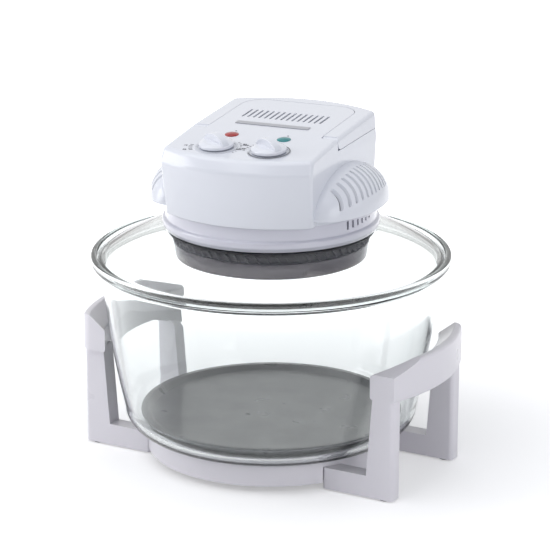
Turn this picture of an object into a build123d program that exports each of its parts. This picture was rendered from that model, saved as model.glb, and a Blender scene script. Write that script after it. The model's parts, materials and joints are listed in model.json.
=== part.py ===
from build123d import *
import math
import os

# Countertop halogen oven: stand, glass bowl, tray, and a powered head in a glass lid.
# Millimetres, +Z up, origin under the middle of the stand, front towards -Y.

os.makedirs("parts", exist_ok=True)

# ---------------------------------------------------------------- clearances
seat_gap = 0.3        # between faces that nearly touch
shaft_gap = 0.05      # radial, a shaft in its bush or a screw in its hole
lid_play = 0.9        # radial, glass lid inside the bowl's rim
handle_gap = 0.5      # round the carry handle in its recess
handle_back_gap = 0.9  # behind the deck, which the handle's back swings up past

# ---------------------------------------------------------------- stand
foot_radius = 6.0
foot_proud = 1.5
foot_sunk = 1.5
post_clear = 6.0          # from the bowl's waist to the middle of the posts
post_y = 60.6
post_width = 21.0
post_depth = 16.0
post_flare = 6.0
post_round = 4.0
bar_height = 20.5
bar_reach = 24.0          # of the bars under the base ring
tongue_length = 15.0
tongue_width = 10.0
tongue_height = 5.0
rail_width = 22.0
rail_clear = 8.5          # from the bowl's waist to the rail
rail_bottom = 95.0
rail_top = 130.0
rail_crest = 7.0
rail_bank = 13.0
rail_round = 3.0
rail_end_drop = 11.0
rail_end_run = 38.0
rail_end_overhang = 6.0
rail_end_round = 13.0
ring_ledge = 2.2          # the ring's edge beyond the bowl's flat foot
ring_width = 30.0
ring_bottom = 6.5
ring_top = 27.5
ring_wall = 3.0
ring_lip = 1.8
boss_radius = 5.0
screw_radius = 1.6
screw_head_radius = 3.2
screw_head_height = 1.4

# ---------------------------------------------------------------- glass bowl
bowl_floor = 6.0
bowl_wall = 4.8
bowl_heel_round = 24.0
bowl_heel_draw = 9.7      # how far the wall closes in from the waist to the heel
bowl_recess = 2.2
bowl_waist_draw = 9.0     # and from the shoulder to the waist
bowl_waist_z = 100.0
bowl_shoulder_z = 170.0
rim_outer_radius = 167.0
rim_overhang = 10.5
rim_wall = 5.8
rim_top = 196.5
rim_height = 9.0
ledge_depth = 6.5

# ---------------------------------------------------------------- drip tray
tray_play = 4.0           # from the tray's foot to the edge of the bowl's floor
tray_lean = 13.0          # how far the tray's wall flares out to its rim
tray_height = 12.5
tray_flange = 7.0
tray_depth = 5.0
tray_sheet = 1.0

# ---------------------------------------------------------------- glass lid
lid_glass = 4.0
lid_neck_play = 2.5
lid_neck_flat = 4.0
lid_neck_top = 222.0
lid_crown_inset = 30.3
lid_crown_z = 209.8

# ---------------------------------------------------------------- head
head_turn = 7.0           # how far the lid and head stand turned on the bowl
seal_height = 1.0
seal_width = 3.0
heater_radius = 90.0
louvre_wall = 2.8
louvre_height = 16.0
louvre_flange = 1.5
louvre_slots = 60
louvre_slot_width = 5.0
louvre_slot_height = 8.0
louvre_slot_lean = 32.0
chrome_height = 14.4
chrome_sheet = 1.2
chrome_taper = 1.8
spigot_height = 6.0
inner_flange = 13.0       # how far the flanges reach in from the heater's wall
grille_sheet = 1.2
grille_rings = 7
grille_spokes = 8
grille_strip = 2.2
collar_cover = 7.9        # the collar beyond the lid's neck
collar_lower_height = 8.5
collar_step = 3.4
collar_height = 21.5
collar_wall = 2.6
collar_slots = 6
collar_slot_first = 22.3  # degrees towards the front from the head's side
collar_slot_step = 4.2
collar_slot_width = 2.6
collar_slot_height = 8.0
collar_slot_fall = 1.15   # each slot is this much lower than the one before
clamp_screws_count = 6
clamp_inset = 8.0
clamp_start = 30.0
clamp_boss_radius = 4.0
clamp_boss_height = 5.0

# heater chamber
reflector_sheet = 0.8
reflector_edge_gap = 1.2
reflector_hole = 6.0
tube_inset = 28.0
tube_radius = 5.0
tube_drop = 12.7
tube_socket_half_angle = 14.0
tube_socket_margin = 3.0
tube_clip_count = 3
clip_width = 15.0
clip_thick = 2.0
fan_radius = 47.0
fan_hub_radius = 7.0
fan_height = 9.0
fan_drop = 5.0
fan_blades = 8
fan_sheet = 1.0
fan_nut_radius = 5.5
fan_nut_height = 3.0
bulb_length = 60.0
bulb_radius = 2.0
bulb_inset = 17.5

# ---------------------------------------------------------------- upper casing
casing_wall = 2.6
casing_round = 12.0
casing_front_lip = 3.5
casing_back_lip = 2.0
casing_half = 71.5
casing_front_corner = 76.0
casing_back_corner = 79.0
casing_brow = (101.5, 73.5, 84.0, 100.0, 80.0)
casing_crown = (84.0, 71.5, 70.0, 99.0, 79.0)
brow_z = 294.0
crown_z = 322.0
panel_end_y = -10.0
panel_end_z = 313.4
panel_slope = 0.10
deck_slope = 0.05
deck_half = 56.0
deck_back = 82.0
deck_corner = 20.0
shelf_z = 302.0
casing_bosses = 4
casing_boss_inset = 6.4
casing_boss_radius = 4.5
casing_boss_height = 18.0
casing_lug_height = 6.0
casing_opening_inset = 2.4

# side pods, each half an egg a little above the collar
pod_x = 72.0
pod_y = -4.0
pod_bulge = 38.0
pod_length = 70.0
pod_lift = 6.0
foot_overlap = 1.0        # the round foot's reach into the pods
pod_rise = 36.0
pod_slots = 11
pod_slot_pitch = 8.0
pod_slot_width = 3.4
pod_slot_start_y = -64.0
pod_slot_lean = 25.0
pod_slot_low_angle = 25.0
pod_slot_high_angle = 74.0
pod_slot_inner = 18.0

# top slots, strip and lenses
deck_slots = 15
deck_slot_pitch = 5.5
deck_slot_width = 2.2
deck_slot_length = 25.0
deck_slot_y = 35.0
strip_length = 72.0
strip_width = 7.5
strip_height = 0.8
strip_y = 3.5
lens_x = 25.5
lens_y = -31.5
lens_radius = 6.8
lens_height = 1.6
lens_stem = 5.0
lens_stem_length = 6.0
lamp_radius = 4.0
lamp_length = 12.0

# knobs and controls
knob_x = 25.4
knob_y = -66.0
knob_radius = 16.0
knob_skirt = 4.0
knob_fin_height = 12.5
knob_fin_width = 7.0
knob_fin_angle = -31.0
knob_lift = 1.4
knob_bore_depth = 8.0
knob_shaft_radius = 3.0
shaft_reach = 12.0
dial_radius = 19.6
dial_inner_radius = 17.2
dial_height = 0.6
control_drop = 5.0
neck_radius = 5.0
timer_width = 28.0
timer_length = 24.0
timer_height = 24.0
control_back = 6.0
bell_radius = 11.0
bell_height = 6.0
thermostat_radius = 11.5
thermostat_height = 15.0

# carry handle
pivot_y = -12.0
barrel_radius = 5.1
pin_radius = 2.0
pin_end_x = 68.0
pin_boss_radius = 5.0
pin_boss_length = 5.0
pocket_gap = 1.3

# motor
shaft_radius = 3.0
bulkhead_inset = 6.0
bulkhead_sheet = 1.2
bulkhead_lift = 7.0
standoff_count = 4
standoff_inset = 10.0
standoff_start = 10.0
standoff_radius = 3.5
pillar_offset = 34.0
pillar_radius = 3.0
pillar_neck = 2.5
pillar_tip = 1.8
pillar_height = 18.0
pillar_tip_length = 4.0
bracket_sheet = 1.5
bracket_arm = 12.0
stator_half = 28.0
stator_height = 18.0
rotor_radius = 14.6
air_gap = 0.4
bush_radius = 6.0
bush_length = 6.0
coil_room = 7.0
coil_height = 6.5
coil_inner = 16.5
coil_outer = 25.0
coil_leg_radius = 3.2
coil_leg_circle = 20.7
cooling_fan_radius = 42.0
cooling_fan_hub = 8.0
cooling_fan_height = 8.0
cooling_fan_lift = 5.0
shaft_top_reach = 4.0

# rear and switch
gland_z = 262.0
gland_boss_radius = 12.0
gland_radius = 7.0
gland_flange_radius = 10.0
gland_flange = 4.0
gland_seat_y = 101.5
gland_bore_radius = 3.7
gland_inside = 10.0
terminal_size = (34.0, 12.0, 14.0)
terminal_y = 62.0
switch_x = 61.0
switch_y = 30.0
switch_size = (9.0, 20.0, 14.0)
plunger_radius = 2.0
plunger_length = 11.0
cutout_x = 58.0
cutout_y = -24.0
cutout_radius = 8.0
cutout_height = 6.0

# ---------------------------------------------------------------- radii that follow
rim_inner_radius = rim_outer_radius - rim_wall
bowl_shoulder_radius = rim_outer_radius - rim_overhang
bowl_waist_radius = bowl_shoulder_radius - bowl_waist_draw
bowl_heel_radius = bowl_waist_radius - bowl_heel_draw - bowl_heel_round
bowl_floor_radius = bowl_heel_radius + bowl_floor - bowl_wall
tray_foot_radius = bowl_floor_radius - tray_play
tray_radius = tray_foot_radius + tray_lean
ring_outer_radius = bowl_heel_radius + ring_ledge
ring_inner_radius = ring_outer_radius - ring_width
rail_inner_radius = bowl_waist_radius + rail_clear
rail_outer_radius = rail_inner_radius + rail_width
lid_rim_radius = rim_inner_radius - lid_play
lid_crown_radius = lid_rim_radius - lid_crown_inset
lid_neck_radius = heater_radius + lid_neck_play
inner_flange_radius = heater_radius - inner_flange
clamp_circle = heater_radius - clamp_inset
tube_circle = heater_radius - tube_inset
bulb_y = bulb_inset - heater_radius
bulkhead_radius = heater_radius - bulkhead_inset
standoff_circle = heater_radius - standoff_inset
collar_radius = lid_neck_radius + collar_cover
collar_upper_radius = collar_radius - collar_step
collar_inner_radius = collar_upper_radius - collar_wall
casing_boss_circle = collar_inner_radius - casing_boss_inset
casing_opening = collar_inner_radius - casing_opening_inset
# each level of the casing: front, half width, front corner, back, back corner
casing_base = (
    collar_upper_radius + casing_front_lip,
    casing_half,
    casing_front_corner,
    collar_upper_radius + casing_back_lip,
    casing_back_corner,
)

# ---------------------------------------------------------------- levels that follow
bar_end_x = ring_outer_radius - bar_reach
post_x = bowl_waist_radius + post_clear
post_outer_x = post_x + post_width / 2
post_inner_x = post_x - post_width / 2
frame_front_y = post_y + post_depth / 2
rail_far_y = frame_front_y + rail_end_overhang
bar_top = foot_proud + bar_height
tongue_bottom = ring_bottom + screw_head_height + 0.4
bowl_bottom = ring_top
bowl_inside = bowl_bottom + bowl_floor
ledge_z = rim_top - ledge_depth
seal_bottom = lid_neck_top
collar_bottom = seal_bottom + seal_height
collar_top = collar_bottom + collar_height
louvre_top = collar_bottom
louvre_bottom = louvre_top - louvre_height
chrome_bottom = louvre_bottom - chrome_height
reflector_z = louvre_top - louvre_flange - reflector_sheet
tube_z = reflector_z - tube_drop
fan_top = reflector_z - fan_drop
casing_bottom = collar_top
pod_base = casing_bottom + pod_lift
bulkhead_z = collar_bottom + collar_wall + bulkhead_lift
bulkhead_top = bulkhead_z + bulkhead_sheet
bracket_z = bulkhead_top + pillar_height
stator_z = bracket_z + bracket_sheet
stator_top = stator_z + stator_height
top_bracket_z = stator_top + coil_room
cooling_fan_z = bulkhead_top + cooling_fan_lift
pivot_z = shelf_z + barrel_radius + handle_gap
shelf_under = shelf_z - casing_wall
handle_bottom = shelf_z + handle_gap

# ---------------------------------------------------------------- planes of the turned head
turn = math.radians(head_turn)
head_x = Vector(math.cos(turn), math.sin(turn), 0)
head_y = Vector(-math.sin(turn), math.cos(turn), 0)
panel_angle = math.atan(panel_slope)
deck_angle = math.atan(deck_slope)


def level(z):
    """Horizontal plane of the head at height z."""
    return Plane(origin=(0, 0, z), x_dir=head_x, z_dir=(0, 0, 1))


def side_plane(x):
    """Plane across the head's X: local x is the head's Y, local y is up."""
    return Plane(origin=head_x * x, x_dir=head_y, z_dir=head_x)


def front_plane(y):
    """Plane across the head's Y: local x is the head's X, local y is up."""
    return Plane(origin=head_y * y, x_dir=head_x, z_dir=head_y * -1)


def leaning_plane(y, lean):
    """Front plane that starts at the pods' base and leans back by lean degrees."""
    tip = math.radians(lean)
    normal = head_y * -math.cos(tip) + Vector(0, 0, math.sin(tip))
    return Plane(origin=head_y * y + Vector(0, 0, pod_base), x_dir=head_x, z_dir=normal)


def sloped_plane(x, y, z, angle, lift):
    """Plane tilted forward by angle, lifted along its own normal."""
    normal = head_y * -math.sin(angle) + Vector(0, 0, math.cos(angle))
    origin = head_x * x + head_y * y + Vector(0, 0, z) + normal * lift
    return Plane(origin=origin, x_dir=head_x, z_dir=normal)


def panel_plane(x, y, lift=0.0):
    z = panel_end_z - (panel_end_y - y) * panel_slope
    return sloped_plane(x, y, z, panel_angle, lift)


def deck_plane(x, y, lift=0.0):
    z = panel_end_z + (y - panel_end_y) * deck_slope
    return sloped_plane(x, y, z, deck_angle, lift)


# ================================================================ stand
pad_places = [(sx * post_x, sy * post_y) for sx in (1, -1) for sy in (1, -1)]
socket_y = post_depth / 2 + seat_gap
boss_x = bar_end_x - tongue_length + boss_radius

with BuildPart() as base_ring:
    with BuildSketch(Plane.XZ):
        with BuildLine():
            Polyline(
                (ring_inner_radius, ring_bottom),
                (ring_inner_radius + ring_wall, ring_bottom),
                (ring_inner_radius + ring_wall, ring_top - ring_wall),
                (ring_outer_radius - ring_wall, ring_top - ring_wall),
                (ring_outer_radius - ring_wall, ring_bottom),
                (ring_outer_radius, ring_bottom),
                (ring_outer_radius, ring_top),
                (ring_inner_radius + ring_wall, ring_top),
                (ring_inner_radius + ring_wall, ring_top + ring_lip),
                (ring_inner_radius, ring_top + ring_lip),
                close=True,
            )
        make_face()
    revolve(axis=Axis.Z)
    with BuildSketch(Plane.XY.offset(tongue_bottom + tongue_height)):
        with Locations(*[(sx * boss_x, sy * post_y) for sx in (1, -1) for sy in (1, -1)]):
            Circle(boss_radius)
    extrude(amount=ring_top - ring_wall - tongue_bottom - tongue_height)
    with BuildSketch(Plane.XY.offset(ring_bottom)):
        with Locations(*[(sx * post_x, sy * post_y) for sx in (1, -1) for sy in (1, -1)]):
            Rectangle(2 * (post_x - bar_end_x + seat_gap), 2 * socket_y)
    extrude(amount=bar_top + seat_gap - ring_bottom, mode=Mode.SUBTRACT)
    with BuildSketch(Plane.XY.offset(ring_bottom)):
        with Locations(*[(sx * boss_x, sy * post_y) for sx in (1, -1) for sy in (1, -1)]):
            Circle(screw_radius + shaft_gap)
    extrude(amount=ring_top - ring_wall - ring_bottom - 1, mode=Mode.SUBTRACT)
base_ring.part.label = "base_ring"
export_step(base_ring.part, "parts/base_ring.step")

with BuildPart() as handle_frame_right:
    # two L-shaped ends: a post and the bar that plugs into the base ring
    for side in (1, -1):
        with BuildSketch(Plane.XZ.offset(-side * post_y - post_depth / 2)):
            with BuildLine():
                Polyline(
                    (bar_end_x, foot_proud),
                    (post_outer_x, foot_proud),
                    (post_outer_x, rail_bottom + post_round),
                    (post_inner_x, rail_bottom + post_round),
                    (post_inner_x - post_flare, bar_top),
                    (bar_end_x, bar_top),
                    close=True,
                )
            make_face()
        extrude(amount=post_depth)
    fillet(handle_frame_right.edges().filter_by(Axis.Z), post_round)
    # the tongues that reach under the base ring
    with BuildSketch(Plane.XY.offset(tongue_bottom)):
        with Locations((bar_end_x + 2, post_y), (bar_end_x + 2, -post_y)):
            Rectangle(tongue_length + 2, tongue_width, align=(Align.MAX, Align.CENTER))
    extrude(amount=tongue_height)
with BuildPart() as grip_rail:
    # banked rail round the bowl, its crest outside and its slope towards the glass
    with BuildSketch(Plane.XZ):
        with BuildLine():
            Polyline(
                (rail_inner_radius, rail_bottom),
                (rail_outer_radius, rail_bottom),
                (rail_outer_radius, rail_top),
                (rail_outer_radius - rail_crest, rail_top),
                (rail_inner_radius, rail_top - rail_bank),
                close=True,
            )
        rail_face = make_face()
        fillet(rail_face.vertices(), rail_round)
    revolve(axis=Axis.Z)
    with BuildSketch(Plane.XY.offset(rail_bottom)) as rail_plan:
        Circle(rail_outer_radius)
        with Locations((post_inner_x - 30, rail_far_y)):
            Rectangle(rail_outer_radius, rail_far_y + frame_front_y, mode=Mode.INTERSECT,
                      align=(Align.MIN, Align.MAX))
        fillet(rail_plan.vertices().group_by(Axis.Y)[-1].sort_by(Axis.X)[-1], rail_end_round)
    extrude(amount=rail_top - rail_bottom, mode=Mode.INTERSECT)
    # the front end drops towards the post
    with BuildSketch(Plane.YZ.offset(post_inner_x - 30)):
        with BuildLine():
            Polyline(
                (-frame_front_y, rail_top - rail_end_drop),
                (-frame_front_y + rail_end_run, rail_top + 1),
                (-frame_front_y, rail_top + 1),
                close=True,
            )
        make_face()
    extrude(amount=rail_outer_radius, mode=Mode.SUBTRACT)
with BuildPart() as finished_frame:
    add(handle_frame_right.part)
    add(grip_rail.part)
    with BuildSketch(Plane.XY.offset(foot_proud)):
        with Locations((post_x, post_y), (post_x, -post_y)):
            Circle(foot_radius + seat_gap / 2)
    extrude(amount=foot_sunk, mode=Mode.SUBTRACT)
    with BuildSketch(Plane.XY.offset(tongue_bottom)):
        with Locations((boss_x, post_y), (boss_x, -post_y)):
            Circle(screw_radius + shaft_gap)
    extrude(amount=tongue_height, mode=Mode.SUBTRACT)
finished_frame.part.label = "handle_frame_right"
export_step(finished_frame.part, "parts/handle_frame_right.step")

handle_frame_left = Rot(0, 0, 180) * finished_frame.part
handle_frame_left.label = "handle_frame_left"
export_step(handle_frame_left, "parts/handle_frame_left.step")

with BuildPart() as foot_pads:
    with BuildSketch(Plane.XY):
        with Locations(*pad_places):
            Circle(foot_radius)
    extrude(amount=foot_proud + foot_sunk)
foot_pads.part.label = "foot_pads"
export_step(foot_pads.part, "parts/foot_pads.step")

with BuildPart() as frame_screws:
    with BuildSketch(Plane.XY.offset(tongue_bottom - screw_head_height)):
        with Locations(*[(sx * boss_x, sy * post_y) for sx in (1, -1) for sy in (1, -1)]):
            Circle(screw_head_radius)
    extrude(amount=screw_head_height)
    with BuildSketch(Plane.XY.offset(tongue_bottom)):
        with Locations(*[(sx * boss_x, sy * post_y) for sx in (1, -1) for sy in (1, -1)]):
            Circle(screw_radius)
    extrude(amount=ring_top - ring_wall - tongue_bottom - 3)
frame_screws.part.label = "frame_screws"
export_step(frame_screws.part, "parts/frame_screws.step")

# ================================================================ glass bowl
heel_z = bowl_bottom + bowl_heel_round
with BuildPart() as glass_bowl:
    with BuildSketch(Plane.XZ):
        with BuildLine():
            recess_edge = ring_inner_radius + ring_wall + 3
            Line((0, bowl_bottom + bowl_recess), (recess_edge, bowl_bottom + bowl_recess))
            Line((recess_edge, bowl_bottom + bowl_recess), (recess_edge + 2, bowl_bottom))
            Line((recess_edge + 2, bowl_bottom), (bowl_heel_radius, bowl_bottom))
            heel = RadiusArc(
                (bowl_heel_radius, bowl_bottom),
                (bowl_heel_radius + bowl_heel_round, heel_z),
                -bowl_heel_round,
            )
            ThreePointArc(
                (bowl_heel_radius + bowl_heel_round, heel_z),
                (bowl_waist_radius, bowl_waist_z),
                (bowl_shoulder_radius, bowl_shoulder_z),
            )
            Polyline(
                (bowl_shoulder_radius, bowl_shoulder_z),
                (bowl_shoulder_radius + 2, rim_top - rim_height - 4),
                (rim_outer_radius - 1.5, rim_top - rim_height),
                (rim_outer_radius, rim_top - rim_height + 2),
                (rim_outer_radius, rim_top - 2),
                (rim_outer_radius - 1.8, rim_top),
                (rim_inner_radius + 1.8, rim_top),
                (rim_inner_radius, rim_top - 2),
                (rim_inner_radius, ledge_z),
                (bowl_shoulder_radius - bowl_wall + 1.5, ledge_z),
                (bowl_shoulder_radius - bowl_wall, ledge_z - 2),
                (bowl_shoulder_radius - bowl_wall, bowl_shoulder_z),
            )
            ThreePointArc(
                (bowl_shoulder_radius - bowl_wall, bowl_shoulder_z),
                (bowl_waist_radius - bowl_wall, bowl_waist_z),
                (bowl_heel_radius + bowl_heel_round - bowl_wall, heel_z),
            )
            RadiusArc(
                (bowl_heel_radius + bowl_heel_round - bowl_wall, heel_z),
                (bowl_floor_radius, bowl_inside),
                heel_z - bowl_inside,
            )
            Line((bowl_floor_radius, bowl_inside), (0, bowl_inside))
            Line((0, bowl_inside), (0, bowl_bottom + bowl_recess))
        make_face()
    revolve(axis=Axis.Z)
glass_bowl.part.label = "glass_bowl"
export_step(glass_bowl.part, "parts/glass_bowl.step")

# ================================================================ drip tray
tray_bottom = bowl_inside
tray_top = tray_bottom + tray_height
tray_floor_radius = tray_radius - tray_flange - tray_depth
tray_wall = tray_sheet * math.hypot(tray_lean, tray_height) / tray_height
tray_under = tray_radius - tray_wall - tray_lean * (tray_sheet + 0.4) / tray_height
with BuildPart() as drip_tray:
    # skirt down to the bowl's floor, flat flange, shallow dished plate
    with BuildSketch(Plane.XZ):
        with BuildLine():
            Polyline(
                (0, tray_top - tray_depth),
                (tray_floor_radius, tray_top - tray_depth),
                (tray_radius - tray_flange, tray_top),
                (tray_radius - 1.0, tray_top),
                (tray_radius, tray_top - 1.0),
                (tray_foot_radius, tray_bottom),
                (tray_foot_radius - tray_wall, tray_bottom),
                (tray_under, tray_top - tray_sheet - 0.4),
                (tray_radius - tray_flange + 0.4, tray_top - tray_sheet),
                (tray_floor_radius + 0.4, tray_top - tray_depth - tray_sheet),
                (0, tray_top - tray_depth - tray_sheet),
                close=True,
            )
        make_face()
    revolve(axis=Axis.Z)
drip_tray.part.label = "drip_tray"
export_step(drip_tray.part, "parts/drip_tray.step")

# ================================================================ glass lid and its clamp
with BuildPart() as lid_glass_part:
    with BuildSketch(Plane.XZ):
        with BuildLine():
            neck_out = lid_neck_radius + lid_neck_flat
            Line((lid_neck_radius, lid_neck_top - lid_glass), (lid_neck_radius, lid_neck_top))
            Line((lid_neck_radius, lid_neck_top), (neck_out, lid_neck_top))
            ThreePointArc(
                (neck_out, lid_neck_top),
                (lid_crown_radius, lid_crown_z),
                (lid_rim_radius - 2, ledge_z + lid_glass),
            )
            Line((lid_rim_radius - 2, ledge_z + lid_glass), (lid_rim_radius, ledge_z + lid_glass - 2))
            Line((lid_rim_radius, ledge_z + lid_glass - 2), (lid_rim_radius, ledge_z))
            Line((lid_rim_radius, ledge_z), (lid_rim_radius - 5, ledge_z))
            ThreePointArc(
                (lid_rim_radius - 5, ledge_z),
                (lid_crown_radius - 1.5, lid_crown_z - lid_glass),
                (neck_out - 1, lid_neck_top - lid_glass),
            )
            Line((neck_out - 1, lid_neck_top - lid_glass), (lid_neck_radius, lid_neck_top - lid_glass))
        make_face()
    revolve(axis=Axis.Z)
lid_glass_part.part.label = "lid_glass"
export_step(lid_glass_part.part, "parts/lid_glass.step")

with BuildPart() as lid_seal:
    with BuildSketch(Plane.XY.offset(seal_bottom)):
        Circle(lid_neck_radius + seal_width + 0.5)
        Circle(lid_neck_radius + 0.5, mode=Mode.SUBTRACT)
    extrude(amount=seal_height)
lid_seal.part.label = "lid_seal"
export_step(lid_seal.part, "parts/lid_seal.step")

screw_places = PolarLocations(clamp_circle, clamp_screws_count, start_angle=head_turn + clamp_start)
flange_z = lid_neck_top - lid_glass - seat_gap
spigot_radius = heater_radius - chrome_taper - chrome_sheet - seat_gap
with BuildPart() as louvre_ring:
    with BuildSketch(Plane.XZ):
        with BuildLine():
            Polyline(
                (spigot_radius - 2, louvre_bottom - spigot_height),
                (spigot_radius, louvre_bottom - spigot_height),
                (spigot_radius, louvre_bottom),
                (heater_radius, louvre_bottom),
                (heater_radius, flange_z - louvre_flange),
                (lid_neck_radius + seal_width, flange_z - louvre_flange),
                (lid_neck_radius + seal_width, flange_z),
                (heater_radius, flange_z),
                (heater_radius, louvre_top),
                (inner_flange_radius, louvre_top),
                (inner_flange_radius, louvre_top - louvre_flange),
                (heater_radius - louvre_wall, louvre_top - louvre_flange),
                (heater_radius - louvre_wall, louvre_bottom + 0.6),
                (spigot_radius - 2, louvre_bottom + 0.6),
                close=True,
            )
        make_face()
    revolve(axis=Axis.Z)
    slot_z = louvre_bottom + 0.8 + louvre_slot_height / 2
    with PolarLocations(heater_radius - louvre_wall / 2, louvre_slots):
        with Locations(Location((0, 0, slot_z), (louvre_slot_lean, 0, 0))):
            Box(2 * louvre_wall, louvre_slot_width, louvre_slot_height, mode=Mode.SUBTRACT)
    with BuildSketch(Plane.XY.offset(louvre_top - louvre_flange)):
        with screw_places:
            Circle(screw_radius + shaft_gap)
    extrude(amount=louvre_flange, mode=Mode.SUBTRACT)
louvre_ring.part.label = "louvre_ring"
export_step(louvre_ring.part, "parts/louvre_ring.step")

with BuildPart() as chrome_ring:
    with BuildSketch(Plane.XZ):
        with BuildLine():
            Polyline(
                (heater_radius - chrome_taper - 6, chrome_bottom),
                (heater_radius - chrome_taper - 0.6, chrome_bottom),
                (heater_radius - chrome_taper, chrome_bottom + 0.6),
                (heater_radius, louvre_bottom),
                (heater_radius - chrome_sheet - 0.4, louvre_bottom),
                (heater_radius - chrome_taper - chrome_sheet, chrome_bottom + chrome_sheet),
                (heater_radius - chrome_taper - 6, chrome_bottom + chrome_sheet),
                close=True,
            )
        make_face()
    revolve(axis=Axis.Z)
chrome_ring.part.label = "chrome_ring"
export_step(chrome_ring.part, "parts/chrome_ring.step")

grille_radius = heater_radius - chrome_taper - chrome_sheet - seat_gap
with BuildPart() as guard_grille:
    with BuildSketch(level(chrome_bottom + chrome_sheet)):
        for ring in range(grille_rings, 0, -1):
            ring_radius = grille_radius * ring / grille_rings
            Circle(ring_radius)
            Circle(ring_radius - grille_strip, mode=Mode.SUBTRACT)
        with PolarLocations(grille_radius / 2, grille_spokes):
            Rectangle(grille_radius - grille_strip, grille_strip)
    extrude(amount=grille_sheet)
guard_grille.part.label = "guard_grille"
export_step(guard_grille.part, "parts/guard_grille.step")

# ================================================================ heater chamber
with BuildPart() as reflector:
    with BuildSketch(level(reflector_z)):
        Circle(heater_radius - louvre_wall - reflector_edge_gap)
        Circle(reflector_hole, mode=Mode.SUBTRACT)
    extrude(amount=reflector_sheet)
    with BuildSketch(Plane.XY.offset(reflector_z)):
        with screw_places:
            Circle(screw_radius + shaft_gap)
    extrude(amount=reflector_sheet, mode=Mode.SUBTRACT)
reflector.part.label = "reflector"
export_step(reflector.part, "parts/reflector.step")

# the ring tube starts and ends at the socket at the back
tube_start = head_turn + 90 + tube_socket_half_angle
tube_plane = Plane(
    origin=(0, 0, tube_z),
    x_dir=(math.cos(math.radians(tube_start)), math.sin(math.radians(tube_start)), 0),
    z_dir=(math.sin(math.radians(tube_start)), -math.cos(math.radians(tube_start)), 0),
)
with BuildPart() as halogen_tube:
    with BuildSketch(tube_plane):
        with Locations((tube_circle, 0)):
            Circle(tube_radius)
    revolve(axis=Axis.Z, revolution_arc=360 - 2 * tube_socket_half_angle)
halogen_tube.part.label = "halogen_tube"
export_step(halogen_tube.part, "parts/halogen_tube.step")

socket_half = tube_radius + tube_socket_margin
socket_sweep = 2 * (tube_socket_half_angle - math.degrees(seat_gap / tube_circle))
with BuildPart() as tube_socket:
    with BuildSketch(level(reflector_z)):
        Circle(tube_circle + socket_half)
        Circle(tube_circle - socket_half, mode=Mode.SUBTRACT)
        with BuildLine():
            reach = 2 * tube_circle
            socket_edge = math.radians(90 - socket_sweep / 2)
            Polyline(
                (0, 0),
                (reach * math.cos(socket_edge), reach * math.sin(socket_edge)),
                (-reach * math.cos(socket_edge), reach * math.sin(socket_edge)),
                close=True,
            )
        make_face(mode=Mode.INTERSECT)
    extrude(amount=-(tube_drop + socket_half))
tube_socket.part.label = "tube_socket"
export_step(tube_socket.part, "parts/tube_socket.step")

with BuildPart() as tube_clips:
    # hoops over the tube, hung from the reflector
    with PolarLocations(tube_circle, tube_clip_count, start_angle=head_turn + 30):
        with Locations((0, 0, reflector_z)):
            Box(clip_width, clip_thick, tube_drop, align=(Align.CENTER, Align.CENTER, Align.MAX))
        with Locations(Location((0, 0, tube_z), (90, 0, 0))):
            Cylinder(tube_radius + seat_gap, clip_thick, mode=Mode.SUBTRACT)
tube_clips.part.label = "tube_clips"
export_step(tube_clips.part, "parts/tube_clips.step")

with BuildPart() as thermostat_bulb:
    with BuildSketch(side_plane(-bulb_length / 2)):
        with Locations((bulb_y, reflector_z - bulb_radius - seat_gap)):
            Circle(bulb_radius)
    extrude(amount=bulb_length)
thermostat_bulb.part.label = "thermostat_bulb"
export_step(thermostat_bulb.part, "parts/thermostat_bulb.step")

# ================================================================ motor and fans
fan_bottom = fan_top - fan_height
with BuildPart() as convection_fan:
    with BuildSketch(level(fan_bottom)):
        with PolarLocations(0, fan_blades):
            with Locations((fan_radius / 2, 0)):
                Rectangle(fan_radius - 2, fan_sheet)
    extrude(amount=fan_height)
    with BuildSketch(level(fan_top - fan_sheet)):
        Circle(fan_radius)
    extrude(amount=fan_sheet)
    with BuildSketch(level(fan_bottom)):
        Circle(fan_hub_radius)
    extrude(amount=fan_height)
    with BuildSketch(level(fan_bottom)):
        Circle(shaft_radius + shaft_gap)
    extrude(amount=fan_height, mode=Mode.SUBTRACT)
convection_fan.part.label = "convection_fan"
export_step(convection_fan.part, "parts/convection_fan.step")

with BuildPart() as fan_nut:
    with BuildSketch(level(fan_bottom - fan_nut_height)):
        RegularPolygon(fan_nut_radius, 6)
        Circle(shaft_radius + shaft_gap, mode=Mode.SUBTRACT)
    extrude(amount=fan_nut_height)
fan_nut.part.label = "fan_nut"
export_step(fan_nut.part, "parts/fan_nut.step")

with BuildPart() as cooling_fan:
    with BuildSketch(level(cooling_fan_z)):
        with PolarLocations(0, fan_blades):
            with Locations((cooling_fan_radius / 2, 0)):
                Rectangle(cooling_fan_radius - 2, fan_sheet)
    extrude(amount=cooling_fan_height)
    with BuildSketch(level(cooling_fan_z)):
        Circle(cooling_fan_radius)
    extrude(amount=fan_sheet)
    with BuildSketch(level(cooling_fan_z)):
        Circle(cooling_fan_hub)
    extrude(amount=cooling_fan_height)
    with BuildSketch(level(cooling_fan_z)):
        Circle(shaft_radius + shaft_gap)
    extrude(amount=cooling_fan_height, mode=Mode.SUBTRACT)
cooling_fan.part.label = "cooling_fan"
export_step(cooling_fan.part, "parts/cooling_fan.step")

shaft_bottom = fan_bottom - fan_nut_height - 1.0
shaft_end = top_bracket_z + bracket_sheet + shaft_top_reach
with BuildPart() as drive_shaft:
    with BuildSketch(level(shaft_bottom)):
        Circle(shaft_radius)
    extrude(amount=shaft_end - shaft_bottom)
drive_shaft.part.label = "drive_shaft"
export_step(drive_shaft.part, "parts/drive_shaft.step")

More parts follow.
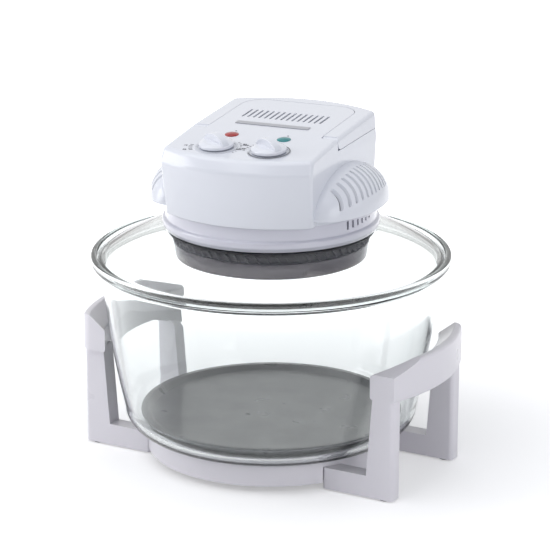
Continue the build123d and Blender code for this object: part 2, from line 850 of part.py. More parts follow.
with BuildPart() as motor_rotor:
    with BuildSketch(level(stator_z + seat_gap)):
        Circle(rotor_radius)
        Circle(shaft_radius + shaft_gap, mode=Mode.SUBTRACT)
    extrude(amount=stator_height - seat_gap)
motor_rotor.part.label = "motor_rotor"
export_step(motor_rotor.part, "parts/motor_rotor.step")

with BuildPart() as motor_stator:
    with BuildSketch(level(stator_z)):
        Rectangle(2 * stator_half, 2 * stator_half)
        Circle(rotor_radius + air_gap, mode=Mode.SUBTRACT)
        with PolarLocations(coil_leg_circle, 4):
            Circle(coil_leg_radius + seat_gap, mode=Mode.SUBTRACT)
    extrude(amount=stator_height)
motor_stator.part.label = "motor_stator"
export_step(motor_stator.part, "parts/motor_stator.step")

with BuildPart() as motor_coils:
    with BuildSketch(level(stator_top)):
        Circle(coil_outer)
        Circle(coil_inner, mode=Mode.SUBTRACT)
    extrude(amount=coil_height)
    with BuildSketch(level(stator_z)):
        with PolarLocations(coil_leg_circle, 4):
            Circle(coil_leg_radius)
    extrude(amount=stator_height)
motor_coils.part.label = "motor_coils"
export_step(motor_coils.part, "parts/motor_coils.step")

pillar_places = GridLocations(2 * pillar_offset, 2 * pillar_offset, 2, 2)
bracket_length = 2 * math.hypot(pillar_offset, pillar_offset) + bracket_arm
for bracket_name, z, hole in (
    ("lower_bracket", bracket_z, pillar_neck),
    ("upper_bracket", top_bracket_z, pillar_tip),
):
    with BuildPart() as motor_bracket:
        with BuildSketch(level(z)):
            with Locations((0, 0, 0)):
                Rectangle(bracket_length, bracket_arm, rotation=45)
                Rectangle(bracket_length, bracket_arm, rotation=-45)
                Circle(bush_radius + shaft_gap, mode=Mode.SUBTRACT)
            with pillar_places:
                Circle(hole + shaft_gap, mode=Mode.SUBTRACT)
        extrude(amount=bracket_sheet)
    motor_bracket.part.label = bracket_name
    export_step(motor_bracket.part, f"parts/{bracket_name}.step")

lower_bush_z = bracket_z + bracket_sheet - bush_length
with BuildPart() as shaft_bushes:
    for z in (lower_bush_z, top_bracket_z):
        with BuildSketch(level(z)):
            Circle(bush_radius)
            Circle(shaft_radius + shaft_gap, mode=Mode.SUBTRACT)
        extrude(amount=bush_length)
shaft_bushes.part.label = "shaft_bushes"
export_step(shaft_bushes.part, "parts/shaft_bushes.step")

with BuildPart() as motor_pillars:
    for z, end, radius in (
        (bulkhead_top, bracket_z, pillar_radius),
        (bracket_z, top_bracket_z, pillar_neck),
        (top_bracket_z, top_bracket_z + pillar_tip_length, pillar_tip),
    ):
        with BuildSketch(level(z)):
            with pillar_places:
                Circle(radius)
        extrude(amount=end - z)
motor_pillars.part.label = "motor_pillars"
export_step(motor_pillars.part, "parts/motor_pillars.step")

standoff_places = PolarLocations(standoff_circle, standoff_count, start_angle=head_turn + standoff_start)
with BuildPart() as motor_bulkhead:
    with BuildSketch(level(bulkhead_z)):
        Circle(bulkhead_radius)
        Circle(shaft_radius + pocket_gap, mode=Mode.SUBTRACT)
    extrude(amount=bulkhead_sheet)
    with BuildSketch(Plane.XY.offset(bulkhead_z)):
        with standoff_places:
            Circle(screw_radius + shaft_gap)
    extrude(amount=bulkhead_sheet, mode=Mode.SUBTRACT)
motor_bulkhead.part.label = "motor_bulkhead"
export_step(motor_bulkhead.part, "parts/motor_bulkhead.step")

with BuildPart() as bulkhead_screws:
    with BuildSketch(Plane.XY.offset(bulkhead_top)):
        with standoff_places:
            Circle(screw_head_radius)
    extrude(amount=screw_head_height)
    with BuildSketch(Plane.XY.offset(bulkhead_z - bulkhead_lift + 1)):
        with standoff_places:
            Circle(screw_radius)
    extrude(amount=bulkhead_lift - 1 + bulkhead_sheet)
bulkhead_screws.part.label = "bulkhead_screws"
export_step(bulkhead_screws.part, "parts/bulkhead_screws.step")

with BuildPart() as thermal_cutout:
    with BuildSketch(level(bulkhead_top)):
        with Locations((cutout_x, cutout_y)):
            Circle(cutout_radius)
    extrude(amount=cutout_height)
thermal_cutout.part.label = "thermal_cutout"
export_step(thermal_cutout.part, "parts/thermal_cutout.step")

with BuildPart() as terminal_block:
    with BuildSketch(level(bulkhead_top)):
        with Locations((0, terminal_y)):
            Rectangle(terminal_size[0], terminal_size[1])
    extrude(amount=terminal_size[2])
terminal_block.part.label = "terminal_block"
export_step(terminal_block.part, "parts/terminal_block.step")

# ================================================================ collar
casing_screw_places = PolarLocations(casing_boss_circle, casing_bosses, start_angle=head_turn + 45)
lug_z = collar_top - casing_lug_height
with BuildPart() as collar:
    with BuildSketch(Plane.XZ):
        with BuildLine():
            skirt_z = seal_bottom + seat_gap
            shoulder_z = collar_bottom + collar_lower_height
            Polyline(
                (inner_flange_radius, collar_bottom),
                (collar_radius - collar_wall - 1.5, collar_bottom),
                (collar_radius - collar_wall - 1.5, skirt_z),
                (collar_radius - 2.2, skirt_z),
                (collar_radius - 0.6, skirt_z + 1.4),
                (collar_radius, skirt_z + 3.6),
                (collar_radius, shoulder_z - 1.6),
                (collar_upper_radius + 1.4, shoulder_z),
                (collar_upper_radius, shoulder_z + 1.0),
                (collar_upper_radius, collar_top),
                (collar_inner_radius, collar_top),
                (collar_inner_radius, collar_bottom + collar_wall),
                (inner_flange_radius, collar_bottom + collar_wall),
                close=True,
            )
        make_face()
    revolve(axis=Axis.Z)
    # bosses for the clamp screws and standoffs for the bulkhead
    with BuildSketch(Plane.XY.offset(collar_bottom + collar_wall)):
        with screw_places:
            Circle(clamp_boss_radius)
    extrude(amount=clamp_boss_height)
    with BuildSketch(Plane.XY.offset(collar_bottom + collar_wall)):
        with standoff_places:
            Circle(standoff_radius)
    extrude(amount=bulkhead_lift)
    # lugs that take the casing's screws
    with BuildSketch(Plane.XY.offset(lug_z)):
        with casing_screw_places:
            Circle(casing_boss_radius)
            Rectangle(collar_inner_radius + 1 - casing_boss_circle, 2 * casing_boss_radius,
                      align=(Align.MIN, Align.CENTER))
    extrude(amount=casing_lug_height)
    with BuildSketch(Plane.XY.offset(collar_bottom)):
        with screw_places:
            Circle(screw_radius + shaft_gap)
    extrude(amount=collar_wall + clamp_boss_height, mode=Mode.SUBTRACT)
    with BuildSketch(Plane.XY.offset(bulkhead_z - bulkhead_lift)):
        with standoff_places:
            Circle(screw_radius + shaft_gap)
    extrude(amount=bulkhead_lift, mode=Mode.SUBTRACT)
    with BuildSketch(Plane.XY.offset(collar_bottom)):
        with casing_screw_places:
            Circle(screw_radius + shaft_gap)
    extrude(amount=collar_height, mode=Mode.SUBTRACT)
    with BuildSketch(Plane.XY.offset(collar_bottom)):
        with casing_screw_places:
            Circle(screw_head_radius + seat_gap)
    extrude(amount=collar_wall, mode=Mode.SUBTRACT)
    # upright slots in both flanks
    for i in range(collar_slots):
        ahead = collar_slot_first - i * collar_slot_step
        with BuildSketch(level(collar_top - 1 - collar_slot_height / 2)):
            for angle in (-ahead, 180 + ahead):
                with PolarLocations(collar_upper_radius, 1, start_angle=angle):
                    Rectangle(2 * collar_wall + 4, collar_slot_width)
        extrude(amount=(collar_slot_height - i * collar_slot_fall) / 2, both=True, mode=Mode.SUBTRACT)
collar.part.label = "collar"
export_step(collar.part, "parts/collar.step")

with BuildPart() as clamp_screws:
    with BuildSketch(Plane.XY.offset(reflector_z - screw_head_height)):
        with screw_places:
            Circle(screw_head_radius)
    extrude(amount=screw_head_height)
    with BuildSketch(Plane.XY.offset(reflector_z)):
        with screw_places:
            Circle(screw_radius)
    extrude(amount=collar_bottom + collar_wall + clamp_boss_height - 1 - reflector_z)
clamp_screws.part.label = "clamp_screws"
export_step(clamp_screws.part, "parts/clamp_screws.step")

with BuildPart() as casing_screws:
    with BuildSketch(Plane.XY.offset(lug_z - screw_head_height)):
        with casing_screw_places:
            Circle(screw_head_radius)
    extrude(amount=screw_head_height)
    with BuildSketch(Plane.XY.offset(lug_z)):
        with casing_screw_places:
            Circle(screw_radius)
    extrude(amount=casing_lug_height + casing_boss_height - 4)
casing_screws.part.label = "casing_screws"
export_step(casing_screws.part, "parts/casing_screws.step")


# ================================================================ upper casing
def casing_plan(size, z, inset):
    """One level of the casing: arched front and back, straight sides, round corners."""
    front, half, corner, back, back_corner = [length - inset for length in size]
    with BuildSketch(level(z)) as plan:
        with BuildLine():
            ThreePointArc((-half, -corner), (0, -front), (half, -corner))
            Line((half, -corner), (half, back_corner))
            ThreePointArc((half, back_corner), (0, back), (-half, back_corner))
            Line((-half, back_corner), (-half, -corner))
        make_face()
        fillet(plan.vertices(), casing_round - inset)
    return plan.sketch


def casing_body(inset):
    """The casing's form without its top: three levels joined by straight flanks."""
    with BuildPart() as body:
        add(casing_plan(casing_base, casing_bottom, inset))
        add(casing_plan(casing_brow, brow_z, inset))
        loft(ruled=True)
    with BuildPart() as crown:
        add(casing_plan(casing_brow, brow_z, inset))
        add(casing_plan(casing_crown, crown_z, inset))
        loft(ruled=True)
    return body.part + crown.part


def top_profile(depth):
    """Side view of everything below the panel and the deck, sunk by depth."""
    reach = 2 * casing_base[0]
    with BuildSketch(side_plane(-reach)) as profile:
        with BuildLine():
            Polyline(
                (-reach, casing_bottom - 1),
                (reach, casing_bottom - 1),
                (reach, panel_end_z - depth + (reach - panel_end_y) * deck_slope),
                (panel_end_y, panel_end_z - depth),
                (-reach, panel_end_z - depth - (reach + panel_end_y) * panel_slope),
                close=True,
            )
        make_face()
    return profile.sketch


def pod_pair(inset):
    """Two half eggs on the flanks, standing out over the collar."""
    with BuildPart() as egg:
        Sphere(1)
        scale(by=(pod_bulge - inset, pod_length - inset, pod_rise - inset))
        split(bisect_by=Plane.XY.offset(inset), keep=Keep.TOP)
    right_egg = level(pod_base).location * Pos(pod_x, pod_y, 0) * egg.part
    left_egg = level(pod_base).location * Pos(-pod_x, pod_y, 0) * egg.part
    return [right_egg, left_egg]


def round_foot(inset):
    """Round foot under the pods, as wide as the collar that it stands on."""
    with BuildPart() as foot:
        with BuildSketch(level(casing_bottom)):
            Circle(collar_upper_radius - inset)
        extrude(amount=pod_lift + inset + foot_overlap)
    return foot.part


with BuildPart() as below_top:
    add(top_profile(0))
    extrude(amount=4 * casing_base[0], dir=head_x)

with BuildPart() as head_form:
    add(casing_body(0))
    add(pod_pair(0))
    add(round_foot(0))
    with BuildSketch(front_plane(gland_seat_y)):
        with Locations((0, gland_z)):
            Circle(gland_boss_radius)
    extrude(amount=gland_seat_y - casing_base[4])
    add(below_top.part, mode=Mode.INTERSECT)

with BuildPart() as room_below_top:
    add(top_profile(casing_wall))
    extrude(amount=4 * casing_base[0], dir=head_x)


def deck_plan(gap, back_gap):
    """Plan of the deck inside the carry handle, with its back corners rounded."""
    with BuildSketch() as deck:
        with Locations((0, deck_back + back_gap)):
            Rectangle(2 * (deck_half + gap), 3 * pod_x, align=(Align.CENTER, Align.MAX))
        fillet(deck.vertices().group_by(Axis.Y)[-1], deck_corner + gap)
    return deck.sketch


inner_side = deck_half - casing_wall
pocket_front = pivot_y - barrel_radius - pocket_gap
with BuildPart() as low_room:
    add(casing_body(casing_wall))
    add(pod_pair(casing_wall))
    add(round_foot(casing_wall))
    with BuildSketch(level(casing_bottom + casing_wall)):
        Rectangle(4 * pod_x, 4 * pod_x)
    extrude(amount=shelf_under - casing_bottom - casing_wall, mode=Mode.INTERSECT)

with BuildPart() as high_room:
    add(casing_body(casing_wall))
    add(room_below_top.part, mode=Mode.INTERSECT)
    with BuildSketch(level(shelf_under - 1)):
        add(deck_plan(-casing_wall, -casing_wall))
        with Locations((0, pocket_front - casing_wall)):
            Rectangle(4 * pod_x, 2 * pod_x, align=(Align.CENTER, Align.MAX))
    extrude(amount=crown_z - shelf_under + 1, mode=Mode.INTERSECT)


def handle_region(gap, back_gap, front):
    """Plan of the carry handle: everything round the deck, behind the pivots."""
    with BuildSketch() as region:
        with Locations((0, front)):
            Rectangle(4 * pod_x, 2 * pod_x, align=(Align.CENTER, Align.MIN))
        add(deck_plan(gap, back_gap), mode=Mode.SUBTRACT)
    return region.sketch


with BuildPart() as upper_casing:
    add(head_form.part)
    add(low_room.part, mode=Mode.SUBTRACT)
    add(high_room.part, mode=Mode.SUBTRACT)
    # the opening down into the collar
    with BuildSketch(level(casing_bottom)):
        Circle(casing_opening)
    extrude(amount=casing_wall, mode=Mode.SUBTRACT)
    # screw bosses with their ribs
    with BuildSketch(Plane.XY.offset(casing_bottom)):
        with casing_screw_places:
            Circle(casing_boss_radius)
            Rectangle(casing_base[3] - casing_boss_circle - 1, 2 * casing_wall,
                      align=(Align.MIN, Align.CENTER))
    extrude(amount=casing_boss_height)
    with BuildSketch(Plane.XY.offset(casing_bottom)):
        with casing_screw_places:
            Circle(screw_radius + shaft_gap)
    extrude(amount=casing_boss_height - 2, mode=Mode.SUBTRACT)
    # inner bosses for the handle's pins
    with BuildSketch(side_plane(pin_boss_length - inner_side)):
        with Locations((pivot_y, pivot_z)):
            Circle(pin_boss_radius)
    extrude(amount=-pin_boss_length - casing_wall / 2)
    with BuildSketch(side_plane(inner_side - pin_boss_length)):
        with Locations((pivot_y, pivot_z)):
            Circle(pin_boss_radius)
    extrude(amount=pin_boss_length + casing_wall / 2)
    add(below_top.part, mode=Mode.INTERSECT)
    # the pocket of the carry handle
    with BuildSketch(level(shelf_z)):
        add(handle_region(0, 0, pocket_front))
    extrude(amount=crown_z - shelf_z, mode=Mode.SUBTRACT)
    with BuildSketch(side_plane(-deck_half)):
        with Locations((pivot_y, pivot_z)):
            Circle(pin_radius + shaft_gap)
    extrude(amount=2 * deck_half, mode=Mode.SUBTRACT)
    # curved slots in the pods
    for i in range(pod_slots):
        with BuildSketch(leaning_plane(pod_slot_start_y + i * pod_slot_pitch, pod_slot_lean)):
            for side in (1, -1):
                with BuildLine():
                    low = math.radians(pod_slot_low_angle)
                    high = math.radians(pod_slot_high_angle)
                    near = pod_slot_inner
                    far = pod_rise + 8
                    middle = side * pod_x
                    Polyline(
                        (middle + side * near * math.cos(low), near * math.sin(low)),
                        (middle + side * far * math.cos(low), far * math.sin(low)),
                        (middle + side * far * math.cos(high), far * math.sin(high)),
                        (middle + side * near * math.cos(high), near * math.sin(high)),
                        close=True,
                    )
                make_face()
        extrude(amount=pod_slot_width / 2, both=True, mode=Mode.SUBTRACT)
    # straight slots in the deck
    with BuildSketch(level(crown_z)):
        with Locations((0, deck_slot_y)):
            with GridLocations(deck_slot_pitch, 1, deck_slots, 1):
                SlotOverall(deck_slot_length, deck_slot_width, rotation=90)
    extrude(amount=shelf_z - crown_z, mode=Mode.SUBTRACT)
    # holes for the lens stems, the knob shafts, the switch plunger and the cord gland
    for side in (1, -1):
        with BuildSketch(panel_plane(side * lens_x, lens_y)):
            Circle(lens_stem + shaft_gap)
        extrude(amount=-2 * casing_wall, mode=Mode.SUBTRACT)
        with BuildSketch(panel_plane(side * knob_x, knob_y)):
            Circle(knob_shaft_radius + seat_gap)
        extrude(amount=-2 * casing_wall, mode=Mode.SUBTRACT)
    with BuildSketch(level(shelf_z)):
        with Locations((switch_x, switch_y)):
            Circle(plunger_radius + shaft_gap)
    extrude(amount=-casing_wall, mode=Mode.SUBTRACT)
    with BuildSketch(front_plane(gland_seat_y)):
        with Locations((0, gland_z)):
            Circle(gland_radius + shaft_gap)
    extrude(amount=gland_inside, mode=Mode.SUBTRACT)
upper_casing.part.label = "upper_casing"
export_step(upper_casing.part, "parts/upper_casing.step")

# ================================================================ carry handle
with BuildPart() as carry_handle:
    with BuildSketch(level(shelf_z)):
        add(handle_region(handle_gap, handle_back_gap, pivot_y))
    extrude(amount=crown_z - shelf_z)
    with BuildSketch(level(handle_bottom)):
        Rectangle(4 * pod_x, 4 * pod_x)
    extrude(amount=crown_z - handle_bottom, mode=Mode.INTERSECT)
    for side in (1, -1):
        with BuildSketch(side_plane(side * (deck_half + handle_gap))):
            with Locations((pivot_y, pivot_z)):
                Circle(barrel_radius)
        extrude(amount=side * pod_x)
    add(head_form.part, mode=Mode.INTERSECT)
    with BuildSketch(side_plane(-pin_end_x - seat_gap)):
        with Locations((pivot_y, pivot_z)):
            Circle(pin_radius + shaft_gap)
    extrude(amount=2 * (pin_end_x + seat_gap), mode=Mode.SUBTRACT)
carry_handle.part.label = "carry_handle"
export_step(carry_handle.part, "parts/carry_handle.step")

pin_length = pin_end_x - (inner_side - pin_boss_length)
with BuildPart() as pivot_pins:
    for side in (1, -1):
        with BuildSketch(side_plane(side * pin_end_x)):
            with Locations((pivot_y, pivot_z)):
                Circle(pin_radius)
        extrude(amount=-side * pin_length)
pivot_pins.part.label = "pivot_pins"
export_step(pivot_pins.part, "parts/pivot_pins.step")

with BuildPart() as safety_switch:
    with BuildSketch(level(shelf_under)):
        with Locations((switch_x, switch_y)):
            Rectangle(switch_size[0], switch_size[1])
    extrude(amount=-switch_size[2])
    with BuildSketch(level(shelf_under)):
        with Locations((switch_x, switch_y)):
            Circle(plunger_radius + shaft_gap)
    extrude(amount=1 - switch_size[2], mode=Mode.SUBTRACT)
safety_switch.part.label = "safety_switch"
export_step(safety_switch.part, "parts/safety_switch.step")

with BuildPart() as switch_plunger:
    with BuildSketch(level(handle_bottom - seat_gap)):
        with Locations((switch_x, switch_y)):
            Circle(plunger_radius)
    extrude(amount=-plunger_length)
switch_plunger.part.label = "switch_plunger"
export_step(switch_plunger.part, "parts/switch_plunger.step")

# ================================================================ controls
body_lift = -casing_wall - control_drop
with BuildPart() as timer_body:
    with BuildSketch(panel_plane(-knob_x, knob_y, body_lift)):
        with Locations((0, control_back)):
            RectangleRounded(timer_width, timer_length, 4)
    extrude(amount=-timer_height)
    with BuildSketch(panel_plane(-knob_x, knob_y, body_lift)):
        Circle(neck_radius)
    extrude(amount=control_drop)
    with BuildSketch(panel_plane(-knob_x, knob_y, -casing_wall)):
        Circle(knob_shaft_radius + shaft_gap)
    extrude(amount=-shaft_reach - 1, mode=Mode.SUBTRACT)
timer_body.part.label = "timer_body"
export_step(timer_body.part, "parts/timer_body.step")

with BuildPart() as timer_bell:
    with BuildSketch(panel_plane(-knob_x, knob_y, body_lift - timer_height)):
        with Locations((0, control_back)):
            Circle(bell_radius)
    extrude(amount=-bell_height)
timer_bell.part.label = "timer_bell"
export_step(timer_bell.part, "parts/timer_bell.step")

with BuildPart() as thermostat_body:
    with BuildSketch(panel_plane(knob_x, knob_y, body_lift)):
        with Locations((0, control_back)):
            Circle(thermostat_radius)
    extrude(amount=-thermostat_height)
    with BuildSketch(panel_plane(knob_x, knob_y, body_lift)):
        Circle(neck_radius)
    extrude(amount=control_drop)
    with BuildSketch(panel_plane(knob_x, knob_y, -casing_wall)):
        Circle(knob_shaft_radius + shaft_gap)
    extrude(amount=-shaft_reach - 1, mode=Mode.SUBTRACT)
thermostat_body.part.label = "thermostat_body"
export_step(thermostat_body.part, "parts/thermostat_body.step")

fin_top = knob_fin_height - knob_lift
with BuildPart() as knob_form:
    with BuildSketch():
        Circle(knob_radius)
    extrude(amount=knob_skirt)
    fillet(knob_form.faces().sort_by(Axis.Z)[-1].edges(), 1.2)
    with BuildSketch(Plane.XZ):
        with BuildLine():
            Line((knob_radius - 1, 0), (knob_radius - 1, knob_skirt))
            ThreePointArc((knob_radius - 1, knob_skirt), (0, fin_top), (1 - knob_radius, knob_skirt))
            Line((1 - knob_radius, knob_skirt), (1 - knob_radius, 0))
            Line((1 - knob_radius, 0), (knob_radius - 1, 0))
        make_face()
    extrude(amount=knob_fin_width / 2, both=True)
    with BuildSketch():
        Circle(knob_shaft_radius + shaft_gap)
    extrude(amount=knob_bore_depth, mode=Mode.SUBTRACT)

for knob_name, shaft_name, side in (("timer", "timer_shaft", -1), ("thermostat", "thermostat_shaft", 1)):
    seat = panel_plane(side * knob_x, knob_y, knob_lift)
    knob = seat.location * Rot(0, 0, knob_fin_angle) * knob_form.part
    knob.label = f"{knob_name}_knob"
    export_step(knob, f"parts/{knob_name}_knob.step")
    with BuildPart() as knob_shaft:
        with BuildSketch(panel_plane(side * knob_x, knob_y, knob_lift + knob_bore_depth - seat_gap)):
            Circle(knob_shaft_radius)
        extrude(amount=-(knob_lift + knob_bore_depth + casing_wall + shaft_reach))
    knob_shaft.part.label = shaft_name
    export_step(knob_shaft.part, f"parts/{shaft_name}.step")

with BuildPart() as dial_rings:
    for side in (1, -1):
        with BuildSketch(panel_plane(side * knob_x, knob_y)):
            Circle(dial_radius)
            Circle(dial_inner_radius, mode=Mode.SUBTRACT)
        extrude(amount=dial_height)
dial_rings.part.label = "dial_rings"
export_step(dial_rings.part, "parts/dial_rings.step")

for lens_name, side in (("red_lens", -1), ("green_lens", 1)):
    with BuildPart() as lens:
        with BuildSketch(panel_plane(side * lens_x, lens_y)):
            Circle(lens_radius)
        extrude(amount=lens_height)
        with BuildSketch(panel_plane(side * lens_x, lens_y)):
            Circle(lens_stem)
        extrude(amount=-lens_stem_length)
    lens.part.label = lens_name
    export_step(lens.part, f"parts/{lens_name}.step")

with BuildPart() as indicator_lamps:
    for side in (1, -1):
        with BuildSketch(panel_plane(side * lens_x, lens_y, -lens_stem_length)):
            Circle(lamp_radius)
        extrude(amount=-lamp_length)
indicator_lamps.part.label = "indicator_lamps"
export_step(indicator_lamps.part, "parts/indicator_lamps.step")

with BuildPart() as name_strip:
    with BuildSketch(deck_plane(0, strip_y)):
        RectangleRounded(strip_length, strip_width, 1)
    extrude(amount=strip_height)
name_strip.part.label = "name_strip"
export_step(name_strip.part, "parts/name_strip.step")

with BuildPart() as cord_gland:
    with BuildSketch(front_plane(gland_seat_y)):
        with Locations((0, gland_z)):
            Circle(gland_flange_radius)
    extrude(amount=-gland_flange)
    with BuildSketch(front_plane(gland_seat_y)):
        with Locations((0, gland_z)):
            Circle(gland_radius)
    extrude(amount=gland_inside)
    with BuildSketch(front_plane(gland_seat_y + gland_flange)):
        with Locations((0, gland_z)):
            Circle(gland_bore_radius)
    extrude(amount=gland_flange + gland_inside, mode=Mode.SUBTRACT)
cord_gland.part.label = "cord_gland"
export_step(cord_gland.part, "parts/cord_gland.step")
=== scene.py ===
import json
import math

import bmesh
import bpy
from mathutils import Matrix, Vector

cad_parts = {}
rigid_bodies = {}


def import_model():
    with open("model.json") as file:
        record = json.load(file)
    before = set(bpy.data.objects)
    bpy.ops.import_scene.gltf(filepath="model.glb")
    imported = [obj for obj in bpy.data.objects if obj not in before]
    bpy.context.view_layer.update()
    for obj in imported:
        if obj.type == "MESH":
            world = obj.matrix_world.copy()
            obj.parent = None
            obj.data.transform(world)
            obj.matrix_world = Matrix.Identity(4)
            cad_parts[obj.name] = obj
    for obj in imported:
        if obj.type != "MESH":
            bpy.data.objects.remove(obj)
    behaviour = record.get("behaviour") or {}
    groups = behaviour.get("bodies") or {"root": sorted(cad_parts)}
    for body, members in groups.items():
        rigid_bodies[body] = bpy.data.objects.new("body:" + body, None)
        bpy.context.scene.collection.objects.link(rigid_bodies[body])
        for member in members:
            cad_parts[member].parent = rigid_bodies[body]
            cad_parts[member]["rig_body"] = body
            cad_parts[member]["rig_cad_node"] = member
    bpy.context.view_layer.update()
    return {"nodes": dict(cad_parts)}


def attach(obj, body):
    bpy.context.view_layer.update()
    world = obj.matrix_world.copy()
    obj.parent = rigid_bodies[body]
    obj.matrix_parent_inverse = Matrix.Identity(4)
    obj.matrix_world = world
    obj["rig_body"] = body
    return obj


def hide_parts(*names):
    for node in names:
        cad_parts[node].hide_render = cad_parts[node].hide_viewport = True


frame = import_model()

mm = 0.001
headTurn = math.radians(7.0)
print("frame loaded")


# small helpers for working on one piece at a time

def deselectAll():
    active = bpy.context.view_layer.objects.active
    if active and active.mode != "OBJECT":
        bpy.ops.object.mode_set(mode="OBJECT")
    bpy.ops.object.select_all(action="DESELECT")


def pick(piece):
    deselectAll()
    piece.select_set(True)
    bpy.context.view_layer.objects.active = piece


def nameNew(name):
    piece = bpy.context.object
    piece.name = name
    piece.data.name = name
    return piece


def openEdit(piece, select="SELECT"):
    pick(piece)
    bpy.ops.object.mode_set(mode="EDIT")
    bpy.ops.mesh.select_all(action=select)


def closeEdit():
    bpy.ops.object.mode_set(mode="OBJECT")


def applyModifier(piece, kind, **values):
    pick(piece)
    modifier = piece.modifiers.new(kind.title(), kind)
    for key, value in values.items():
        setattr(modifier, key, value)
    bpy.ops.object.modifier_apply(modifier=modifier.name)


def applyPlace(piece):
    pick(piece)
    bpy.ops.object.transform_apply(location=True, rotation=True, scale=True)


def roundEdges(piece, width, segments, angle):
    applyModifier(piece, "BEVEL", width=width * mm, segments=segments, limit_method="ANGLE",
                  angle_limit=math.radians(angle), harden_normals=False)


def smoothPiece(piece, angle=35.0, weighted=True):
    pick(piece)
    bpy.ops.object.shade_smooth_by_angle(angle=math.radians(angle))
    if weighted:
        applyModifier(piece, "WEIGHTED_NORMAL", keep_sharp=True, weight=60)


def cutWith(piece, cutter, operation="DIFFERENCE"):
    applyModifier(piece, "BOOLEAN", object=cutter, operation=operation, solver="EXACT")
    bpy.data.objects.remove(cutter)


def joinPieces(pieces, name):
    deselectAll()
    for piece in pieces:
        piece.select_set(True)
    bpy.context.view_layer.objects.active = pieces[0]
    bpy.ops.object.join()
    return nameNew(name)


def copyPiece(piece, name):
    twin = piece.copy()
    twin.data = piece.data.copy()
    bpy.context.collection.objects.link(twin)
    twin.name = name
    twin.data.name = name
    return twin


def moveTo(piece, matrix):
    piece.matrix_world = matrix @ piece.matrix_world
    applyPlace(piece)


def finishPiece(piece, body, material, nodes=()):
    piece.data.materials.clear()
    piece.data.materials.append(material)
    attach(piece, body)
    if nodes:
        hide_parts(*nodes)


def sortFaces(piece):
    # the spin leaves its faces in another order each run, so they are laid out again in a fixed one
    mesh = piece.data
    places = [tuple(vertex.co) for vertex in mesh.vertices]
    faces = []
    for face in mesh.polygons:
        loop = list(face.vertices)
        turn = loop.index(min(loop))
        faces.append(loop[turn:] + loop[:turn])
    mesh.clear_geometry()
    mesh.from_pydata(places, [], sorted(faces))


# profiles in millimetres, radius and height, each corner with its own round

def roundCorners(corners, steps=5):
    points = []
    count = len(corners)
    for i, corner in enumerate(corners):
        x, z = corner[0], corner[1]
        size = corner[2] if len(corner) > 2 else 0.0
        here = Vector((x, z))
        if size <= 0:
            points.append(here)
            continue
        before = Vector(corners[i - 1][:2])
        after = Vector(corners[(i + 1) % count][:2])
        toBefore = (before - here).normalized()
        toAfter = (after - here).normalized()
        half = toBefore.angle(toAfter) / 2
        reach = min(size / math.tan(half), (before - here).length * 0.49, (after - here).length * 0.49)
        radius = reach * math.tan(half)
        centre = here + (toBefore + toAfter).normalized() * radius / math.sin(half)
        start = here + toBefore * reach - centre
        end = here + toAfter * reach - centre
        sweep = math.atan2(start.x * end.y - start.y * end.x, start.dot(end))
        for step in range(steps + 1):
            angle = sweep * step / steps
            points.append(centre + Vector((start.x * math.cos(angle) - start.y * math.sin(angle),
                                           start.x * math.sin(angle) + start.y * math.cos(angle))))
    return points


def arcThrough(a, b, c, count):
    # points from a to c on the circle through b, both ends included
    ax, ay = a
    bx, by = b
    cx, cy = c
    d = 2 * (ax * (by - cy) + bx * (cy - ay) + cx * (ay - by))
    aa, bb, cc = ax * ax + ay * ay, bx * bx + by * by, cx * cx + cy * cy
    ux = (aa * (by - cy) + bb * (cy - ay) + cc * (ay - by)) / d
    uy = (aa * (cx - bx) + bb * (ax - cx) + cc * (bx - ax)) / d
    radius = math.hypot(ax - ux, ay - uy)
    start = math.atan2(ay - uy, ax - ux)
    middle = (math.atan2(by - uy, bx - ux) - start) % (2 * math.pi)
    sweep = (math.atan2(cy - uy, cx - ux) - start) % (2 * math.pi)
    if middle > sweep:
        sweep -= 2 * math.pi
    return [(ux + radius * math.cos(start + sweep * i / (count - 1)),
             uy + radius * math.sin(start + sweep * i / (count - 1))) for i in range(count)]


def spinProfile(name, corners, steps=192):
    points = roundCorners(corners)
    deselectAll()
    bpy.ops.mesh.primitive_circle_add(vertices=len(points), radius=1)
    piece = nameNew(name)
    for vertex, point in zip(piece.data.vertices, points):
        vertex.co = (point[0] * mm, 0, point[1] * mm)
    openEdit(piece)
    bpy.ops.mesh.spin(steps=steps, angle=2 * math.pi, center=(0, 0, 0), axis=(0, 0, 1))
    bpy.ops.mesh.select_all(action="SELECT")
    bpy.ops.mesh.remove_doubles(threshold=0.00001)
    bpy.ops.mesh.delete_loose(use_verts=True, use_edges=True, use_faces=False)
    closeEdit()
    sortFaces(piece)
    openEdit(piece)
    bpy.ops.mesh.normals_make_consistent(inside=False)
    closeEdit()
    return piece


def addBlock(name, low, high, bevel=0.0, segments=3):
    # a block between two corners in millimetres, its edges rounded
    deselectAll()
    bpy.ops.mesh.primitive_cube_add(size=1)
    block = nameNew(name)
    for vertex in block.data.vertices:
        vertex.co = [(low[i] + (vertex.co[i] + 0.5) * (high[i] - low[i])) * mm for i in range(3)]
    if bevel:
        openEdit(block)
        bpy.ops.mesh.bevel(offset=bevel * mm, segments=segments)
        closeEdit()
    return block


def addRod(name, radius, low, high, vertices=48, bevel=0.0):
    deselectAll()
    bpy.ops.mesh.primitive_cylinder_add(vertices=vertices, radius=radius * mm, depth=(high - low) * mm,
                                        location=(0, 0, (high + low) / 2 * mm))
    rod = nameNew(name)
    applyPlace(rod)
    if bevel:
        roundEdges(rod, bevel, 3, 40)
    return rod


